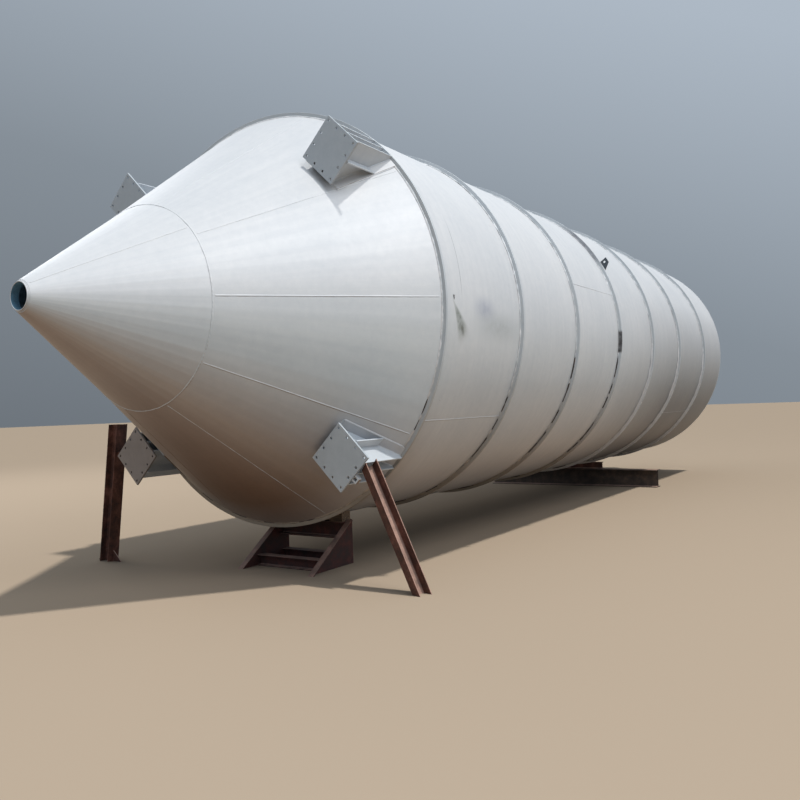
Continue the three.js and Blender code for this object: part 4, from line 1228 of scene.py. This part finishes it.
def props():
    foot, head = NEAR_PROP
    spare = (head - foot).normalized() * 0.12
    degrees = BRACKETS["near_lower"]
    under_webs = (Vector(spot(degrees, 0, WEB_OUTER_EDGE + GAP, 0)), Vector(-outward(degrees)))
    bar = section_bar(channel_profile(0.120, 0.080, 8 * MM, 8 * MM), foot - spare, head + spare, NEAR_PROP_ROLL,
                      [GROUND_CUT, under_webs])
    make_piece("rolled_near_prop", [bar], [RUST], "rusty_steel", "near_prop")

    foot, head = FAR_PROP
    spare = (head - foot).normalized() * FAR_PROP_DEPTH
    top = (Vector((0, 0, head.z)), Vector((0, 0, 1)))
    parts = [section_bar(h_profile(FAR_PROP_DEPTH, FAR_PROP_DEPTH, 6.5 * MM, 9 * MM), foot - spare, head + spare,
                         cuts=[GROUND_CUT, top])]
    half, height = FAR_PROP_DEPTH / 2, FAR_PROP_GUSSET_HEIGHT
    for side, reach in FAR_PROP_GUSSETS:
        shape = [(0, 0), (side * (half + reach), 0), (side * half, height), (0, height)]
        parts.append(cut_plate(shape[::side], [], 10 * MM, foot, Y_WAY, Z_WAY))
    make_piece("rolled_far_prop", parts, [RUST], "rusty_steel", "far_prop")


def stool():
    parts = []
    for y, height in STOOL_ENDS.items():
        outwards = -1 if y < 0 else 1
        reach = STOOL_SPLAY * height
        shape = [(STOOL_TOE_X, 0), (STOOL_BACK_X, 0), (STOOL_BACK_X, height), (STOOL_TOE_X + reach, height)]
        parts.append(cut_plate(shape, [], STOOL_PLATE, (FRONT_X, y - outwards * STOOL_PLATE / 2, 0), X_WAY, Z_WAY))
        slant = STOOL_BRACE * math.hypot(1, STOOL_SPLAY)
        strip = [(STOOL_TOE_X, 0), (STOOL_TOE_X + slant, 0), (STOOL_TOE_X + slant + reach, height),
                 (STOOL_TOE_X + reach, height)]
        parts.append(cut_plate(strip, [], STOOL_BRACE_WIDTH, (FRONT_X, y + outwards * STOOL_BRACE_WIDTH / 2, 0),
                               X_WAY, Z_WAY))
        share = np.linspace(0.02, 0.98, 60)
        path = np.stack([FRONT_X + STOOL_TOE_X + slant + reach * share, np.full(60, y), height * share], -1)
        along = unit(STOOL_SPLAY * X_WAY + Z_WAY)
        parts.append(fillet(path, outwards * Y_WAY, along[2] * X_WAY - along[0] * Z_WAY, STOOL_WELD,
                            960 + outwards))
        line = np.linspace(-RUNNER_WELD_HALF, RUNNER_WELD_HALF, 24)
        for k, x in enumerate(RUNNER_X):
            for z in (4 * MM, RUNNER_SIZE - 4 * MM):
                path = np.stack([FRONT_X + x + line, np.full(24, y - outwards * STOOL_PLATE), np.full(24, z)], -1)
                parts.append(fillet(path, -outwards * Y_WAY, Z_WAY, STOOL_WELD, 930 + k))
    low, high = min(STOOL_ENDS) + STOOL_PLATE / 2, max(STOOL_ENDS) - STOOL_PLATE / 2
    for x in RUNNER_X:
        parts.append(section_bar(h_profile(RUNNER_SIZE, RUNNER_SIZE, 6 * MM, 8 * MM),
                                 (FRONT_X + x, low, RUNNER_SIZE / 2), (FRONT_X + x, high, RUNNER_SIZE / 2)))
    make_piece("welded_stool", parts, [PRIMER], "red_primer", "stool_frame")


def chock():
    """A block sawn to the shell's curve."""
    low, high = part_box("stool_chock")
    top = [(y, AXIS_Z - math.sqrt((SHELL_RADIUS + GAP) ** 2 - y ** 2)) for y in np.linspace(high.y, low.y, 9)]
    block = cut_plate([(low.y, low.z), (high.y, low.z)] + top, [], high.x - low.x, ((low.x + high.x) / 2, 0, 0),
                      Y_WAY, Z_WAY, 2 * MM)
    make_piece("sawn_chock", [block], [TIMBER], "timber", "stool_chock")


def supports():
    for name, web, flange, material, slot, node in LYING_BARS:
        make_piece(name, [cross_bar(node, web, flange)], [material], slot, node)
    stool()
    chock()


# Stage: a plain floor, one strong sun high on the near side, two soft boxes and a weak even sky

FLOOR_HALF = 150
FLOOR_COLOUR = "#8f8273"
SUN_RAYS = Vector((0.02, 0.34, -0.93))
SUN_STRENGTH = 3.8
SUN_WIDTH = math.radians(2.5)
SUN_COLOUR = "#fffaf2"
# Soft boxes: name, place, what they face, side and watts
SOFT_BOXES = [
    ("near_soft_box", Vector((-7.33, -9.6, 10.77)), Vector((-4.83, 0, AXIS_Z)), 5, 540),
    ("far_soft_box", Vector((-2.0, 13.0, 10.0)), Vector((0, 0, AXIS_Z)), 9, 650),
]
# The sky is palest towards this way, which leans from overhead to the near side
SKY_TOP = (0.0, -0.35, 0.94)
SKY = [(0.0, "#62676c"), (0.33, "#6b7279"), (0.50, "#868f98"), (0.66, "#adb8c4"), (0.9, "#c3cfdb")]


def lamp(name, kind, energy, rays, **settings):
    """A light that shines along the rays."""
    light = bpy.data.lights.new(name, kind)
    light.energy = energy
    for key, value in settings.items():
        setattr(light, key, value)
    holder = placed(name, light)
    holder.rotation_euler = rays.to_track_quat("-Z", "Y").to_euler()
    return holder


def stage():
    mesh = bpy.data.meshes.new("floor")
    mesh.from_pydata([(x, y, 0) for x, y in square(FLOOR_HALF)], [], [(0, 1, 2, 3)])
    plain = new_material("pale_floor")
    shader = add(plain.node_tree, "BsdfDiffuse", [("Color", rgba(FLOOR_COLOUR))])
    add(plain.node_tree, "OutputMaterial", [("Surface", shader, "BSDF")])
    mesh.materials.append(plain)
    floor = placed("floor", mesh)

    sun = lamp("key_light", "SUN", SUN_STRENGTH, SUN_RAYS, angle=SUN_WIDTH, color=linear(SUN_COLOUR))
    sun.visible_glossy = False
    for name, place, aim, side, watts in SOFT_BOXES:
        lamp(name, "AREA", watts, aim - place, size=side).location = place

    world = bpy.data.worlds.new("light_tent")
    world.use_nodes = True
    bpy.context.scene.world = world
    tree = world.node_tree
    tree.nodes.clear()
    way = add(tree, "TexCoord")
    lean = add(tree, "VectorMath", [(0, way, "Generated"), (1, SKY_TOP)], operation="DOT_PRODUCT")
    height = add(tree, "MapRange", [("Value", lean, "Value"), ("From Min", -1.0), ("From Max", 1.0)])
    tent = add(tree, "ValToRGB", [("Fac", height, "Result")], SKY)
    glow = add(tree, "Background", [("Color", tent, "Color"), ("Strength", 1.0)])
    add(tree, "OutputWorld", [("Surface", glow, "Background")])
    bpy.context.scene.view_settings.view_transform = "Standard"


shell_courses()
hopper()
rings()
brackets()
lug()
sleeve()
roof()
props()
supports()
NODES["far_prop_tie"].data.materials.clear()
NODES["far_prop_tie"].data.materials.append(RUST)
stage()
